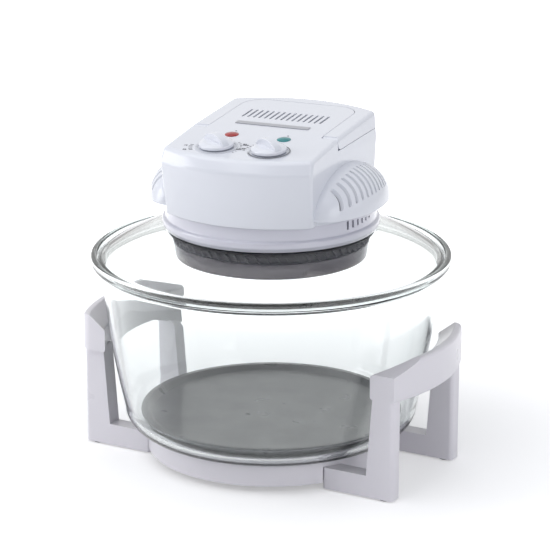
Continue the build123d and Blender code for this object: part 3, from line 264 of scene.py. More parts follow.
def cadCopy(node, name, flat):
    # a merged copy of a CAD node with its flat faces whole again
    piece = frame["nodes"][node].copy()
    piece.data = frame["nodes"][node].data.copy()
    bpy.context.collection.objects.link(piece)
    piece.parent = None
    piece.name = name
    piece.data.name = name
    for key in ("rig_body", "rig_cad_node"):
        if key in piece:
            del piece[key]
    openEdit(piece)
    bpy.ops.mesh.remove_doubles(threshold=0.00002)
    bpy.ops.mesh.dissolve_limited(angle_limit=math.radians(flat))
    closeEdit()
    return piece


headMatrix = Matrix.Rotation(headTurn, 4, "Z")


def turnHead(piece):
    moveTo(piece, headMatrix)


# materials

def startGroup(name, inputs, outputs):
    group = bpy.data.node_groups.new(name, "ShaderNodeTree")
    for label, value in inputs:
        kind = "NodeSocketColor" if isinstance(value, tuple) else "NodeSocketFloat"
        group.interface.new_socket(label, in_out="INPUT", socket_type=kind).default_value = value
    for label, kind in outputs:
        group.interface.new_socket(label, in_out="OUTPUT", socket_type=kind)
    nodes = group.nodes
    return group, nodes.new("NodeGroupInput"), nodes.new("NodeGroupOutput"), nodes.new("ShaderNodeTexCoord")


surfaceOutputs = (("Color", "NodeSocketColor"), ("Roughness", "NodeSocketFloat"))


def blendSurface(group, given, result, mask):
    # colour and gloss follow one mask, from Light and Gloss to Dark and Dull
    nodes, links = group.nodes, group.links
    colour = nodes.new("ShaderNodeMix")
    colour.data_type = "RGBA"
    rough = nodes.new("ShaderNodeMapRange")
    links.new(mask, colour.inputs["Factor"])
    links.new(given.outputs["Light"], colour.inputs["A"])
    links.new(given.outputs["Dark"], colour.inputs["B"])
    links.new(mask, rough.inputs["Value"])
    links.new(given.outputs["Gloss"], rough.inputs["To Min"])
    links.new(given.outputs["Dull"], rough.inputs["To Max"])
    links.new(colour.outputs["Result"], result.inputs["Color"])
    links.new(rough.outputs["Result"], result.inputs["Roughness"])


def buildMottle():
    # slow change of colour and gloss over a moulded or coated surface
    group, given, result, place = startGroup(
        "surfaceMottle", (("Light", (0.8, 0.8, 0.8, 1)), ("Dark", (0.7, 0.7, 0.7, 1)), ("Scale", 12.0),
                          ("Gloss", 0.2), ("Dull", 0.3)), surfaceOutputs)
    nodes, links = group.nodes, group.links
    noise = nodes.new("ShaderNodeTexNoise")
    noise.inputs["Detail"].default_value = 4
    noise.inputs["Roughness"].default_value = 0.55
    spread = nodes.new("ShaderNodeMapRange")
    spread.inputs["From Min"].default_value = 0.3
    spread.inputs["From Max"].default_value = 0.7
    links.new(place.outputs["Object"], noise.inputs["Vector"])
    links.new(given.outputs["Scale"], noise.inputs["Scale"])
    links.new(noise.outputs["Fac"], spread.inputs["Value"])
    blendSurface(group, given, result, spread.outputs["Result"])
    return group


def buildGrain():
    # fine moulded or sprayed texture over slow waves, a height for the bump
    group, given, result, place = startGroup(
        "fineGrain", (("Scale", 900.0), ("Waves", 30.0)), (("Height", "NodeSocketFloat"),))
    nodes, links = group.nodes, group.links
    both = nodes.new("ShaderNodeMath")
    both.operation = "ADD"
    for i, (label, detail) in enumerate((("Scale", 2), ("Waves", 1))):
        noise = nodes.new("ShaderNodeTexNoise")
        noise.inputs["Detail"].default_value = detail
        links.new(place.outputs["Object"], noise.inputs["Vector"])
        links.new(given.outputs[label], noise.inputs["Scale"])
        links.new(noise.outputs["Fac"], both.inputs[i])
    links.new(both.outputs["Value"], result.inputs["Height"])
    return group


def buildBrushedAndReflection():
    # turned or drawn marks on metal, stretched round or along the piece; on the dark chrome the same noise,
    # large and strong, is painted reflection
    group, given, result, place = startGroup(
        "brushedLinesAndPaintedReflection", (("Light", (0.7, 0.7, 0.7, 1)), ("Dark", (0.6, 0.6, 0.6, 1)), ("Across", 30.0),
                         ("Along", 1500.0), ("Gloss", 0.2), ("Dull", 0.35)), surfaceOutputs)
    nodes, links = group.nodes, group.links
    stretch = nodes.new("ShaderNodeCombineXYZ")
    scaled = nodes.new("ShaderNodeVectorMath")
    scaled.operation = "MULTIPLY"
    noise = nodes.new("ShaderNodeTexNoise")
    noise.inputs["Scale"].default_value = 1.0
    noise.inputs["Detail"].default_value = 3
    for axis, label in (("X", "Across"), ("Y", "Across"), ("Z", "Along")):
        links.new(given.outputs[label], stretch.inputs[axis])
    links.new(place.outputs["Object"], scaled.inputs[0])
    links.new(stretch.outputs["Vector"], scaled.inputs[1])
    links.new(scaled.outputs["Vector"], noise.inputs["Vector"])
    blendSurface(group, given, result, noise.outputs["Fac"])
    return group


mottleGroup = buildMottle()
grainGroup = buildGrain()
brushedAndReflectionGroup = buildBrushedAndReflection()


def startMaterial(name):
    material = bpy.data.materials.new(name)
    material.use_nodes = True
    return material, material.node_tree.nodes["Principled BSDF"]


def placeGroup(material, group, **values):
    node = material.node_tree.nodes.new("ShaderNodeGroup")
    node.node_tree = group
    for label, value in values.items():
        node.inputs[label].default_value = value
    return node


def addGrainBump(material, shader, scale, waves, strength, distance):
    grain = placeGroup(material, grainGroup, Scale=scale, Waves=waves)
    bump = material.node_tree.nodes.new("ShaderNodeBump")
    bump.inputs["Strength"].default_value = strength
    bump.inputs["Distance"].default_value = distance
    material.node_tree.links.new(grain.outputs["Height"], bump.inputs["Height"])
    material.node_tree.links.new(bump.outputs["Normal"], shader.inputs["Normal"])


def plasticMaterial(name, light, dark, gloss=0.18, dull=0.26, coat=0.0, strength=0.12, scale=9.0,
                    grain=1400.0, metallic=0.0):
    material, shader = startMaterial(name)
    mottle = placeGroup(material, mottleGroup, Light=(*light, 1), Dark=(*dark, 1), Scale=scale,
                        Gloss=gloss, Dull=dull)
    links = material.node_tree.links
    links.new(mottle.outputs["Color"], shader.inputs["Base Color"])
    links.new(mottle.outputs["Roughness"], shader.inputs["Roughness"])
    shader.inputs["Metallic"].default_value = metallic
    shader.inputs["Coat Weight"].default_value = coat
    shader.inputs["Coat Roughness"].default_value = 0.06
    addGrainBump(material, shader, grain, 25.0, strength, 0.0002)
    return material


def metalMaterial(name, light, dark, gloss=0.2, dull=0.32, across=30.0, along=1500.0, strength=0.05):
    material, shader = startMaterial(name)
    # brushed lines on most metals; on the dark chrome these patches are painted reflection
    linesAndReflection = placeGroup(material, brushedAndReflectionGroup, Light=(*light, 1), Dark=(*dark, 1), Across=across,
                       Along=along, Gloss=gloss, Dull=dull)
    links = material.node_tree.links
    links.new(linesAndReflection.outputs["Color"], shader.inputs["Base Color"])
    links.new(linesAndReflection.outputs["Roughness"], shader.inputs["Roughness"])
    shader.inputs["Metallic"].default_value = 1.0
    addGrainBump(material, shader, 1800.0, 60.0, strength, 0.0001)
    return material


def glassMaterial(name, tint, strength=0.02, dust=0.0, thick=None, density=0.0):
    material, shader = startMaterial(name)
    if thick:
        # grey-green where one looks through a lot of it
        body = material.node_tree.nodes.new("ShaderNodeVolumeAbsorption")
        body.inputs["Color"].default_value = (*thick, 1)
        body.inputs["Density"].default_value = density
        output = material.node_tree.nodes["Material Output"]
        material.node_tree.links.new(body.outputs["Volume"], output.inputs["Volume"])
    shader.inputs["Base Color"].default_value = (*tint, 1)
    shader.inputs["Transmission Weight"].default_value = 1.0
    shader.inputs["IOR"].default_value = 1.46
    shader.inputs["Roughness"].default_value = dust
    addGrainBump(material, shader, 40.0, 14.0, strength, 0.0005)
    return material


def softMaterial(name, light, dark):
    material, shader = startMaterial(name)
    mottle = placeGroup(material, mottleGroup, Light=(*light, 1), Dark=(*dark, 1), Scale=60.0,
                        Gloss=0.6, Dull=0.85)
    links = material.node_tree.links
    links.new(mottle.outputs["Color"], shader.inputs["Base Color"])
    links.new(mottle.outputs["Roughness"], shader.inputs["Roughness"])
    addGrainBump(material, shader, 2200.0, 200.0, 0.3, 0.0003)
    return material


whiteHead = plasticMaterial("whiteHead", (0.78, 0.80, 0.865), (0.77, 0.79, 0.855), coat=0.3, strength=0.06)
# the collar is darker and more lavender than the head: partly a darker plastic, partly painted shade for the
# shade under the casing's overhang
collarWhiteAndPaintedShade = plasticMaterial("collarWhiteAndPaintedShade", (0.66, 0.66, 0.745), (0.64, 0.64, 0.725), gloss=0.14, dull=0.2,
                              coat=0.5, strength=0.06)
paleStand = plasticMaterial("paleStand", (0.805, 0.785, 0.835), (0.795, 0.775, 0.825), gloss=0.26, dull=0.36,
                            coat=0.12, scale=4.0, strength=0.08)
innerWhite = plasticMaterial("innerWhite", (0.74, 0.73, 0.70), (0.70, 0.69, 0.66), gloss=0.4, dull=0.5)
blackPlastic = plasticMaterial("blackPlastic", (0.018, 0.018, 0.02), (0.03, 0.03, 0.033), gloss=0.16,
                               dull=0.3, coat=0.3, scale=25.0)
louvreBlack = plasticMaterial("louvreBlack", (0.010, 0.009, 0.009), (0.018, 0.016, 0.016), gloss=0.28,
                              dull=0.42, scale=60.0)
# dark chrome: the large light and dark patches in its colour are painted reflection, standing in for the
# bright sides and dark middle the studio gives it
darkChromePaintedReflection = metalMaterial("darkChromePaintedReflection", (0.16, 0.148, 0.157), (0.030, 0.026, 0.029), gloss=0.07, dull=0.13,
                           across=10.0, along=120.0, strength=0.008)
steelParts = metalMaterial("steelParts", (0.62, 0.62, 0.63), (0.50, 0.50, 0.52))
brightMetal = metalMaterial("brightMetal", (0.82, 0.82, 0.84), (0.74, 0.74, 0.77), gloss=0.12, dull=0.24)
bronzeMetal = metalMaterial("bronzeMetal", (0.60, 0.40, 0.22), (0.48, 0.30, 0.17), gloss=0.3, dull=0.45)
copperWire = metalMaterial("copperWire", (0.62, 0.24, 0.10), (0.45, 0.16, 0.07), along=2500.0)
ironStack = metalMaterial("ironStack", (0.24, 0.24, 0.26), (0.14, 0.14, 0.15), gloss=0.35, dull=0.5,
                          across=5.0, along=2200.0)
trayCoat = plasticMaterial("trayCoat", (0.165, 0.17, 0.18), (0.14, 0.145, 0.155), gloss=0.26, dull=0.38,
                           coat=0.35, scale=30.0, grain=2600.0, strength=0.12, metallic=0.3)
ceramicWhite = softMaterial("ceramicWhite", (0.78, 0.75, 0.70), (0.70, 0.67, 0.62))
rubberBlack = softMaterial("rubberBlack", (0.03, 0.03, 0.03), (0.05, 0.05, 0.05))
printGrey = plasticMaterial("printGrey", (0.12, 0.125, 0.145), (0.15, 0.155, 0.175), gloss=0.3, dull=0.4)
ringGrey = plasticMaterial("ringGrey", (0.62, 0.64, 0.69), (0.58, 0.60, 0.65), gloss=0.25, dull=0.35)
stripMetal = metalMaterial("stripMetal", (0.50, 0.51, 0.55), (0.40, 0.41, 0.45), gloss=0.3, dull=0.45,
                           across=1500.0, along=40.0)
bowlGlass = glassMaterial("bowlGlass", (0.985, 0.992, 0.99), thick=(0.58, 0.66, 0.65), density=30.0)
lidGlass = glassMaterial("lidGlass", (0.985, 0.99, 0.99), strength=0.012, thick=(0.60, 0.67, 0.66),
                         density=24.0)
tubeGlass = glassMaterial("tubeGlass", (0.97, 0.97, 0.98), dust=0.04)
lampGlass = glassMaterial("lampGlass", (0.98, 0.90, 0.75), dust=0.1)


def lensMaterial(name, light, dark):
    material = plasticMaterial(name, light, dark, gloss=0.12, dull=0.2, coat=0.2, scale=180.0,
                               strength=0.05)
    shader = material.node_tree.nodes["Principled BSDF"]
    shader.inputs["Transmission Weight"].default_value = 0.1
    return material


redLens = lensMaterial("redLens", (0.46, 0.008, 0.012), (0.36, 0.005, 0.008))
greenLens = lensMaterial("greenLens", (0.0, 0.27, 0.29), (0.0, 0.20, 0.22))
print("materials ready")


# stand: the ring and the two side frames; its feet and screws keep their CAD shape

standSizes = {"edge": 1.1, "flat": 2.0, "notchX": 91.7, "notchEnd": 140.0, "notchY": 60.6, "notchHalf": 8.3,
              "notchLow": 6.0, "notchHigh": 22.3}


def buildStand():
    ring = spinProfile("standRing", [
        (86.0, 6.5, 0.6), (89.0, 6.5, 0.6), (89.0, 24.5, 0.8), (113.0, 24.5, 0.8), (113.0, 6.5, 0.6),
        (116.0, 6.5, 1.0), (116.0, 27.5, 2.2), (89.6, 27.5, 0.5), (89.0, 29.3, 0.6), (86.0, 29.3, 0.6)])
    sizes = standSizes
    for near, far in ((sizes["notchX"], sizes["notchEnd"]), (-sizes["notchEnd"], -sizes["notchX"])):
        for end in (1, -1):
            low = (near, end * sizes["notchY"] - sizes["notchHalf"], sizes["notchLow"])
            high = (far, end * sizes["notchY"] + sizes["notchHalf"], sizes["notchHigh"])
            cutWith(ring, addBlock("notch", low, high))
    smoothPiece(ring)
    finishPiece(ring, "stand", paleStand, ["base_ring"])
    for word, node in (("Right", "handle_frame_right"), ("Left", "handle_frame_left")):
        sideFrame = cadCopy(node, "sideFrame" + word, sizes["flat"])
        roundEdges(sideFrame, sizes["edge"], 3, 35)
        smoothPiece(sideFrame, 40)
        finishPiece(sideFrame, "stand", paleStand, [node])


buildStand()
print("stand built")


# glass bowl, tray and glass lid

def buildBowl():
    outer = arcThrough((137.8, 51.5), (147.5, 100.0), (156.5, 170.0), 26)
    inner = arcThrough((151.7, 170.0), (142.7, 100.0), (133.0, 51.5), 26)
    heelOut = arcThrough((113.8, 27.5), (130.77, 34.53), (137.8, 51.5), 12)
    heelIn = arcThrough((133.0, 51.5), (127.9, 38.9), (115.2, 33.5), 12)
    profile = [(0, 29.7), (91.0, 29.7, 2.0), (94.0, 27.5, 1.2)] + heelOut[:-1] + outer
    profile += [(158.3, 183.5, 3.0), (165.2, 187.4, 1.6), (167.0, 189.6, 1.6), (167.0, 196.5, 2.6),
                (161.2, 196.5, 2.4), (161.2, 190.0, 1.0), (151.7, 190.0, 2.0)]
    profile += inner + heelIn[1:] + [(0, 33.5)]
    bowl = spinProfile("glassBowl", profile, 224)
    smoothPiece(bowl, 50, weighted=False)
    finishPiece(bowl, "bowl", bowlGlass, ["glass_bowl"])


def buildTray():
    tray = spinProfile("dripTray", [
        (0, 41.0), (111.7, 41.0, 2.5), (117.2, 46.0, 1.4), (124.1, 46.0, 0.9), (111.2, 33.5, 0.3),
        (109.9, 33.5, 0.3), (121.4, 44.7, 0.4), (117.6, 45.0, 1.2), (112.2, 40.0, 2.0), (0, 40.0)], 192)
    smoothPiece(tray, 50, weighted=False)
    finishPiece(tray, "tray", trayCoat, ["drip_tray"])


def buildLid():
    over = arcThrough((96.5, 222.0), (130.0, 209.8), (158.3, 194.0), 24)
    under = arcThrough((155.3, 190.0), (128.5, 205.8), (95.5, 218.0), 24)
    profile = [(92.5, 218.0, 0.6), (92.5, 222.0, 0.8)] + over + [(160.3, 192.4, 1.4), (160.3, 190.0, 1.0)]
    lid = spinProfile("glassLid", profile + under, 224)
    smoothPiece(lid, 50, weighted=False)
    finishPiece(lid, "head", lidGlass, ["lid_glass"])


buildBowl()
buildTray()
buildLid()
print("glass built")


# heater ring: dark chrome band, black louvre band, fins

finSizes = {"count": 60, "lean": 32.0, "thick": 1.7, "low": 207.4, "high": 216.4, "half": 6.2,
            "inner": 86.6, "outer": 89.8}


def buildHeaterRing():
    chrome = spinProfile("chromeBand", [
        (82.2, 192.6, 0.3), (88.2, 192.6, 0.9), (90.0, 207.0, 0.5), (88.4, 207.0, 0.2), (87.0, 193.8, 0.3),
        (82.2, 193.8, 0.3)], 224)
    smoothPiece(chrome, 40)
    # the chrome band's colour carries a painted reflection
    finishPiece(chrome, "head", darkChromePaintedReflection, ["chrome_ring"])
    parts = [
        spinProfile("louvreTop", [
            (95.5, 216.2, 0.4), (95.5, 217.7, 0.4), (90.0, 217.7), (90.0, 223.0, 0.3), (77.0, 223.0, 0.3),
            (77.0, 221.5, 0.3), (87.2, 221.5), (87.2, 216.2, 0.3)], 160),
        spinProfile("louvreFoot", [
            (84.7, 201.0, 0.3), (86.7, 201.0, 0.5), (86.7, 207.0), (90.0, 207.0, 0.4), (90.0, 207.8, 0.3),
            (87.2, 207.8), (84.7, 207.6, 0.3)], 160),
        # a dark sheet behind the fins, painted shade: it stands for the shade inside the heater, seen through
        # the slots
        spinProfile("louvrePaintedShadeSheet", [(85.7, 207.2), (86.3, 207.2), (86.3, 221.9), (85.7, 221.9)], 160),
    ]
    sizes = finSizes
    fin = addBlock("fin", (sizes["inner"], -sizes["thick"] / 2, -sizes["half"]),
                   (sizes["outer"], sizes["thick"] / 2, sizes["half"]), 0.35, 2)
    middle = (sizes["low"] + sizes["high"]) / 2 * mm
    for i in range(sizes["count"]):
        turned = copyPiece(fin, "fin.%02d" % i)
        moveTo(turned, Matrix.Rotation(2 * math.pi * (i + 0.5) / sizes["count"], 4, "Z")
               @ Matrix.Translation((0, 0, middle)) @ Matrix.Rotation(math.radians(sizes["lean"]), 4, "X"))
        for vertex in turned.data.vertices:
            vertex.co.z = min(max(vertex.co.z, sizes["low"] * mm), sizes["high"] * mm)
        parts.append(turned)
    bpy.data.objects.remove(fin)
    louvre = joinPieces(parts, "louvreBand")
    smoothPiece(louvre, 40)
    finishPiece(louvre, "head", louvreBlack, ["louvre_ring"])


buildHeaterRing()
print("heater ring built")


# collar under the casing

# six slots on each flank, every one a step further on and a little shorter than the one before
collarSizes = {"slots": 6, "first": 22.3, "step": 4.2, "wide": 2.6, "high": 8.0, "fall": 1.15,
               "middle": 239.5, "inner": 90.0, "outer": 104.0}


def buildCollar():
    collar = spinProfile("collarRing", [
        (77.0, 223.0, 0.4), (96.3, 223.0), (96.3, 222.3), (98.2, 222.3, 0.6), (100.4, 225.9, 2.5),
        (100.4, 231.0, 2.2), (97.6, 232.4, 1.2), (97.0, 244.5, 0.3), (94.4, 244.5, 0.3),
        (94.4, 225.6, 1.0), (77.0, 225.6, 0.4)], 224)
    sizes = collarSizes
    cutters = []
    for i in range(sizes["slots"]):
        half = (sizes["high"] - i * sizes["fall"]) / 2
        ahead = sizes["first"] - i * sizes["step"]
        for angle in (-ahead, 180 + ahead):
            slot = addBlock("slot", (sizes["inner"], -sizes["wide"] / 2, sizes["middle"] - half),
                            (sizes["outer"], sizes["wide"] / 2, sizes["middle"] + half), 0.5, 2)
            moveTo(slot, Matrix.Rotation(math.radians(angle), 4, "Z"))
            cutters.append(slot)
    cutWith(collar, joinPieces(cutters, "collarSlots"))
    turnHead(collar)
    smoothPiece(collar, 40)
    # the collar's colour holds painted shade from the casing's overhang
    finishPiece(collar, "head", collarWhiteAndPaintedShade, ["collar"])


buildCollar()
print("collar built")


# upper casing: three levels joined by straight flanks, cut by the panel and the deck, and the handle

casingSizes = {
    # front, half width, front corner, back, back corner
    "base": (100.5, 71.5, 76.0, 99.0, 79.0),
    "brow": (101.5, 73.5, 84.0, 100.0, 80.0),
    "crown": (84.0, 71.5, 70.0, 99.0, 79.0),
    "baseZ": 244.5, "browZ": 294.0, "crownZ": 322.0, "corner": 12.0, "wall": 2.6,
    "panelY": -10.0, "panelZ": 313.4, "panelSlope": 0.10, "deckSlope": 0.05,
    "browRound": 2.4, "topRound": 3.6, "footRound": 0.8, "arcPoints": 25,
    "opening": (92.0, 240.0, 248.0),  # radius, from, to
}
# the round boss of the cord gland at the back
bossSizes = {"radius": 12.0, "near": 60.0, "far": 101.5, "z": 262.0, "edge": 1.0}
deckSizes = {"half": 56.0, "back": 82.0, "corner": 20.0, "backGap": 0.85, "shelfZ": 302.0, "pivotY": -12.0,
             "pivotZ": 307.6, "barrel": 5.1, "pocketGap": 1.3, "seam": 0.5, "gap": 0.45,
             "reach": 130.0, "ahead": 200.0, "top": 330.0, "over": 5.0, "barrelEnd": 120.0}
deckSlotSizes = {"count": 15, "pitch": 5.5, "half": 1.1, "round": 1.05, "low": 304.0, "high": 330.0,
                 "front": 22.5, "back": 47.5}
podSizes = {"x": 72.0, "y": -4.0, "base": 250.5, "foot": 97.0, "bulge": 38.0, "length": 70.0, "rise": 36.0,
            "slots": 11, "pitch": 8.0, "wide": 3.4, "start": -64.0, "lean": 25.0, "low": 25.0, "high": 74.0,
            "inner": 18.0}
panelAngle = math.atan(casingSizes["panelSlope"])
deckAngle = math.atan(casingSizes["deckSlope"])


def panelZ(y):
    return casingSizes["panelZ"] - (casingSizes["panelY"] - y) * casingSizes["panelSlope"]


def deckZ(y):
    return casingSizes["panelZ"] + (y - casingSizes["panelY"]) * casingSizes["deckSlope"]


def panelMatrix(x, y, lift=0.0):
    normal = Vector((0, -math.sin(panelAngle), math.cos(panelAngle)))
    place = Vector((x, y, panelZ(y))) * mm + normal * lift * mm
    return headMatrix @ Matrix.Translation(place) @ Matrix.Rotation(panelAngle, 4, "X")


def deckMatrix(x, y):
    place = Vector((x, y, deckZ(y))) * mm
    return headMatrix @ Matrix.Translation(place) @ Matrix.Rotation(deckAngle, 4, "X")


def casingOutline(size, inset):
    front, half, corner, back, backCorner = [length - inset for length in size]
    count = casingSizes["arcPoints"]
    corners = arcThrough((-half, -corner), (0, -front), (half, -corner), count) \
        + arcThrough((half, backCorner), (0, back), (-half, backCorner), count)
    for i in (0, count - 1, count, 2 * count - 1):
        corners[i] = (*corners[i], casingSizes["corner"] - inset)
    return roundCorners(corners, 8)


def casingBlock(name, inset, lowest, rounded):
    sizes = casingSizes
    levels = [(casingOutline(sizes["base"], inset), lowest),
              (casingOutline(sizes["brow"], inset), sizes["browZ"])]
    crown = casingOutline(sizes["crown"], inset)
    deselectAll()
    count = len(crown)
    bpy.ops.mesh.primitive_cylinder_add(vertices=count, radius=1, depth=2, end_fill_type="NGON")
    block = nameNew(name)
    # the lower ring and the upper ring of the primitive, then one more ring pulled up
    for vertex in block.data.vertices:
        outline, height = levels[vertex.index % 2]
        point = outline[vertex.index // 2]
        vertex.co = (point[0] * mm, point[1] * mm, height * mm)
    openEdit(block, "DESELECT")
    bpy.ops.mesh.select_mode(type="FACE")
    closeEdit()
    for face in block.data.polygons:
        face.select = len(face.vertices) > 4 and face.center.z > sizes["browZ"] * mm - 0.001
    pick(block)
    bpy.ops.object.mode_set(mode="EDIT")
    bpy.ops.mesh.extrude_region_move(TRANSFORM_OT_translate={"value": (0, 0, 0.01)})
    closeEdit()
    raised = [v for v in block.data.vertices if v.select]
    # the raised ring takes the crown's outline, vertex by vertex
    for vertex in raised:
        flat = Vector((vertex.co.x, vertex.co.y))
        nearest = min(range(count), key=lambda i: (Vector(levels[1][0][i]) * mm - flat).length)
        vertex.co = (crown[nearest][0] * mm, crown[nearest][1] * mm, sizes["crownZ"] * mm)
    openEdit(block)
    bpy.ops.mesh.normals_make_consistent(inside=False)
    for angle in (panelAngle, deckAngle):
        bpy.ops.mesh.select_all(action="SELECT")
        bpy.ops.mesh.bisect(plane_co=(0, sizes["panelY"] * mm, (sizes["panelZ"] - inset) * mm),
                            plane_no=(0, -math.sin(angle), math.cos(angle)), use_fill=True, clear_outer=True)
    closeEdit()
    if rounded:
        bevelRing(block, sizes["browZ"], sizes["browRound"], 5)
        bevelRing(block, lowest, sizes["footRound"], 3)
        bevelTop(block)
    return block


def bevelRing(block, height, width, segments):
    # the sharp edges that lie at one height
    openEdit(block, "DESELECT")
    bpy.ops.mesh.select_mode(type="EDGE")
    shape = bmesh.from_edit_mesh(block.data)
    for edge in shape.edges:
        level = all(abs(vertex.co.z - height * mm) < 1e-5 for vertex in edge.verts)
        edge.select_set(level and edge.calc_face_angle(0) > 0.02)
    bmesh.update_edit_mesh(block.data)
    bpy.ops.mesh.bevel(offset=width * mm, segments=segments, clamp_overlap=True)
    closeEdit()


def bevelUpright(block, test, width, segments):
    # the upright edges of a block that pass the test
    openEdit(block, "DESELECT")
    bpy.ops.mesh.select_mode(type="EDGE")
    shape = bmesh.from_edit_mesh(block.data)
    for edge in shape.edges:
        ends = [vertex.co for vertex in edge.verts]
        edge.select_set(abs(ends[0].z - ends[1].z) > 0.001 and all(test(end) for end in ends))
    bmesh.update_edit_mesh(block.data)
    bpy.ops.mesh.bevel(offset=width * mm, segments=segments)
    closeEdit()


def bevelTop(block):
    # the edge all round the panel and the deck
    openEdit(block, "DESELECT")
    bpy.ops.mesh.select_mode(type="EDGE")
    shape = bmesh.from_edit_mesh(block.data)
    for edge in shape.edges:
        up = [face.normal.z > 0.97 for face in edge.link_faces]
        edge.select_set(len(up) == 2 and up[0] != up[1])
    bmesh.update_edit_mesh(block.data)
    bpy.ops.mesh.bevel(offset=casingSizes["topRound"] * mm, segments=5, clamp_overlap=True)
    closeEdit()


def addPod(side, inset):
    deselectAll()
    bpy.ops.mesh.primitive_uv_sphere_add(segments=96, ring_count=64, radius=1)
    pod = nameNew("pod")
    for vertex in pod.data.vertices:
        vertex.co = (
            (side * podSizes["x"] + vertex.co.x * (podSizes["bulge"] - inset)) * mm,
            (podSizes["y"] + vertex.co.y * (podSizes["length"] - inset)) * mm,
            (podSizes["base"] + vertex.co.z * (podSizes["rise"] - inset)) * mm)
    openEdit(pod)
    bpy.ops.mesh.bisect(plane_co=(0, 0, (podSizes["base"] + inset) * mm), plane_no=(0, 0, 1),
                        use_fill=True, clear_inner=True)
    closeEdit()
    return pod


def handleRegion(name, gap, backGap, front, bottom):
    # everything round the deck and behind the pivots, as a block with a rounded bay
    sizes = deckSizes
    reach, over, half = sizes["reach"], sizes["over"], sizes["half"] + gap
    region = addBlock(name, (-reach, front, bottom), (reach, reach, sizes["top"]))
    deck = addBlock("deckBay", (-half, -sizes["ahead"], bottom - over),
                    (half, sizes["back"] + backGap, sizes["top"] + over))
    bevelUpright(deck, lambda v: v.y > 0, sizes["corner"] + gap, 10)
    cutWith(region, deck)
    return region


def buildDeckSlots():
    sizes = deckSlotSizes
    cutters = []
    for i in range(sizes["count"]):
        x = sizes["pitch"] * (i - (sizes["count"] - 1) / 2)
        slot = addBlock("slot", (x - sizes["half"], sizes["front"], sizes["low"]),
                        (x + sizes["half"], sizes["back"], sizes["high"]))
        bevelUpright(slot, lambda v: True, sizes["round"], 5)
        cutters.append(slot)
    return joinPieces(cutters, "deckSlots")


def buildPodSlots():
    cutters = []
    low, high = math.radians(podSizes["low"]), math.radians(podSizes["high"])
    lean = math.radians(podSizes["lean"])
    far = podSizes["rise"] + 8
    near = podSizes["inner"]
    for side in (1, -1):
        for i in range(podSizes["slots"]):
            y = podSizes["start"] + i * podSizes["pitch"]
            wedge = addBlock("wedge", (0, y - podSizes["wide"] / 2, 0), (1, y + podSizes["wide"] / 2, 1))
            corners = {(0, 0): (near, low), (1, 0): (far, low), (1, 1): (far, high), (0, 1): (near, high)}
            for vertex in wedge.data.vertices:
                reach, angle = corners[(int(vertex.co.x > 0.5 * mm), int(vertex.co.z > 0.5 * mm))]
                vertex.co.x = (podSizes["x"] + reach * math.cos(angle)) * side * mm
                vertex.co.z = (podSizes["base"] + reach * math.sin(angle) * math.cos(lean)) * mm
                vertex.co.y += reach * math.sin(angle) * math.sin(lean) * mm
            openEdit(wedge)
            bpy.ops.mesh.normals_make_consistent(inside=False)
            bpy.ops.mesh.bevel(offset=1.2 * mm, segments=3)
            closeEdit()
            cutters.append(wedge)
    return joinPieces(cutters, "podSlots")


def buildCasing():
    sizes, deck = casingSizes, deckSizes
    wall, floor = sizes["wall"], sizes["baseZ"] + sizes["wall"]
    outer = casingBlock("upperCasing", 0.0, sizes["baseZ"], True)
    for side in (1, -1):
        cutWith(outer, addPod(side, 0.0), "UNION")
    # the round foot under the pods stands on the collar
    cutWith(outer, addRod("foot", podSizes["foot"], sizes["baseZ"], podSizes["base"] + 1, 160), "UNION")
    boss = addRod("boss", bossSizes["radius"], -bossSizes["far"], -bossSizes["near"], 48, bossSizes["edge"])
    moveTo(boss, Matrix.Translation((0, 0, bossSizes["z"] * mm)) @ Matrix.Rotation(math.pi / 2, 4, "X"))
    cutWith(outer, boss, "UNION")
    handle = copyPiece(outer, "carryHandle")

    inner = casingBlock("innerRoom", wall, floor, False)
    for side in (1, -1):
        cutWith(inner, addPod(side, wall), "UNION")
    cutWith(inner, addRod("footRoom", podSizes["foot"] - wall, floor, podSizes["base"] + wall + 1, 160),
            "UNION")
    front = deck["pivotY"] - deck["barrel"] - deck["pocketGap"]
    cutWith(inner, handleRegion("shelf", -wall, -wall, front - wall, deck["shelfZ"] - wall))
    cutWith(outer, inner)
    cutWith(outer, addRod("opening", *sizes["opening"], 128))
    cutWith(outer, handleRegion("pocket", 0.0, 0.0, front, deck["shelfZ"]))
    cutWith(outer, buildDeckSlots())
    cutWith(outer, buildPodSlots())
    turnHead(outer)
    smoothPiece(outer, 30)
    finishPiece(outer, "head", whiteHead, ["upper_casing"])

    region = handleRegion("grip", deck["gap"], deck["backGap"], deck["pivotY"], deck["shelfZ"] + deck["seam"])
    for side in (1, -1):
        barrel = addRod("barrel", deck["barrel"], deck["half"] + deck["gap"], deck["barrelEnd"], 48)
        moveTo(barrel, Matrix.Translation((0, deck["pivotY"] * mm, deck["pivotZ"] * mm))
               @ Matrix.Rotation(side * math.pi / 2, 4, "Y"))
        cutWith(region, barrel, "UNION")
    cutWith(handle, region, "INTERSECT")
    turnHead(handle)
    smoothPiece(handle, 30)
    finishPiece(handle, "handle", whiteHead, ["carry_handle"])


buildCasing()
print("casing and handle built")


# controls on the panel

knobSizes = {"x": 25.4, "y": -66.0, "radius": 16.0, "skirt": 4.0, "fin": 11.1, "finFoot": 3.0, "reach": 14.9,
             "wide": 7.0, "angle": -31.0, "lift": 1.4, "ringOut": 19.6, "ringIn": 17.2, "ringHigh": 0.6}
lensSizes = {"x": 25.5, "y": -31.5, "radius": 6.8, "high": 1.6}
stripSizes = {"half": 36.0, "wide": 7.5, "high": 0.8, "edge": 0.5, "y": 3.5}
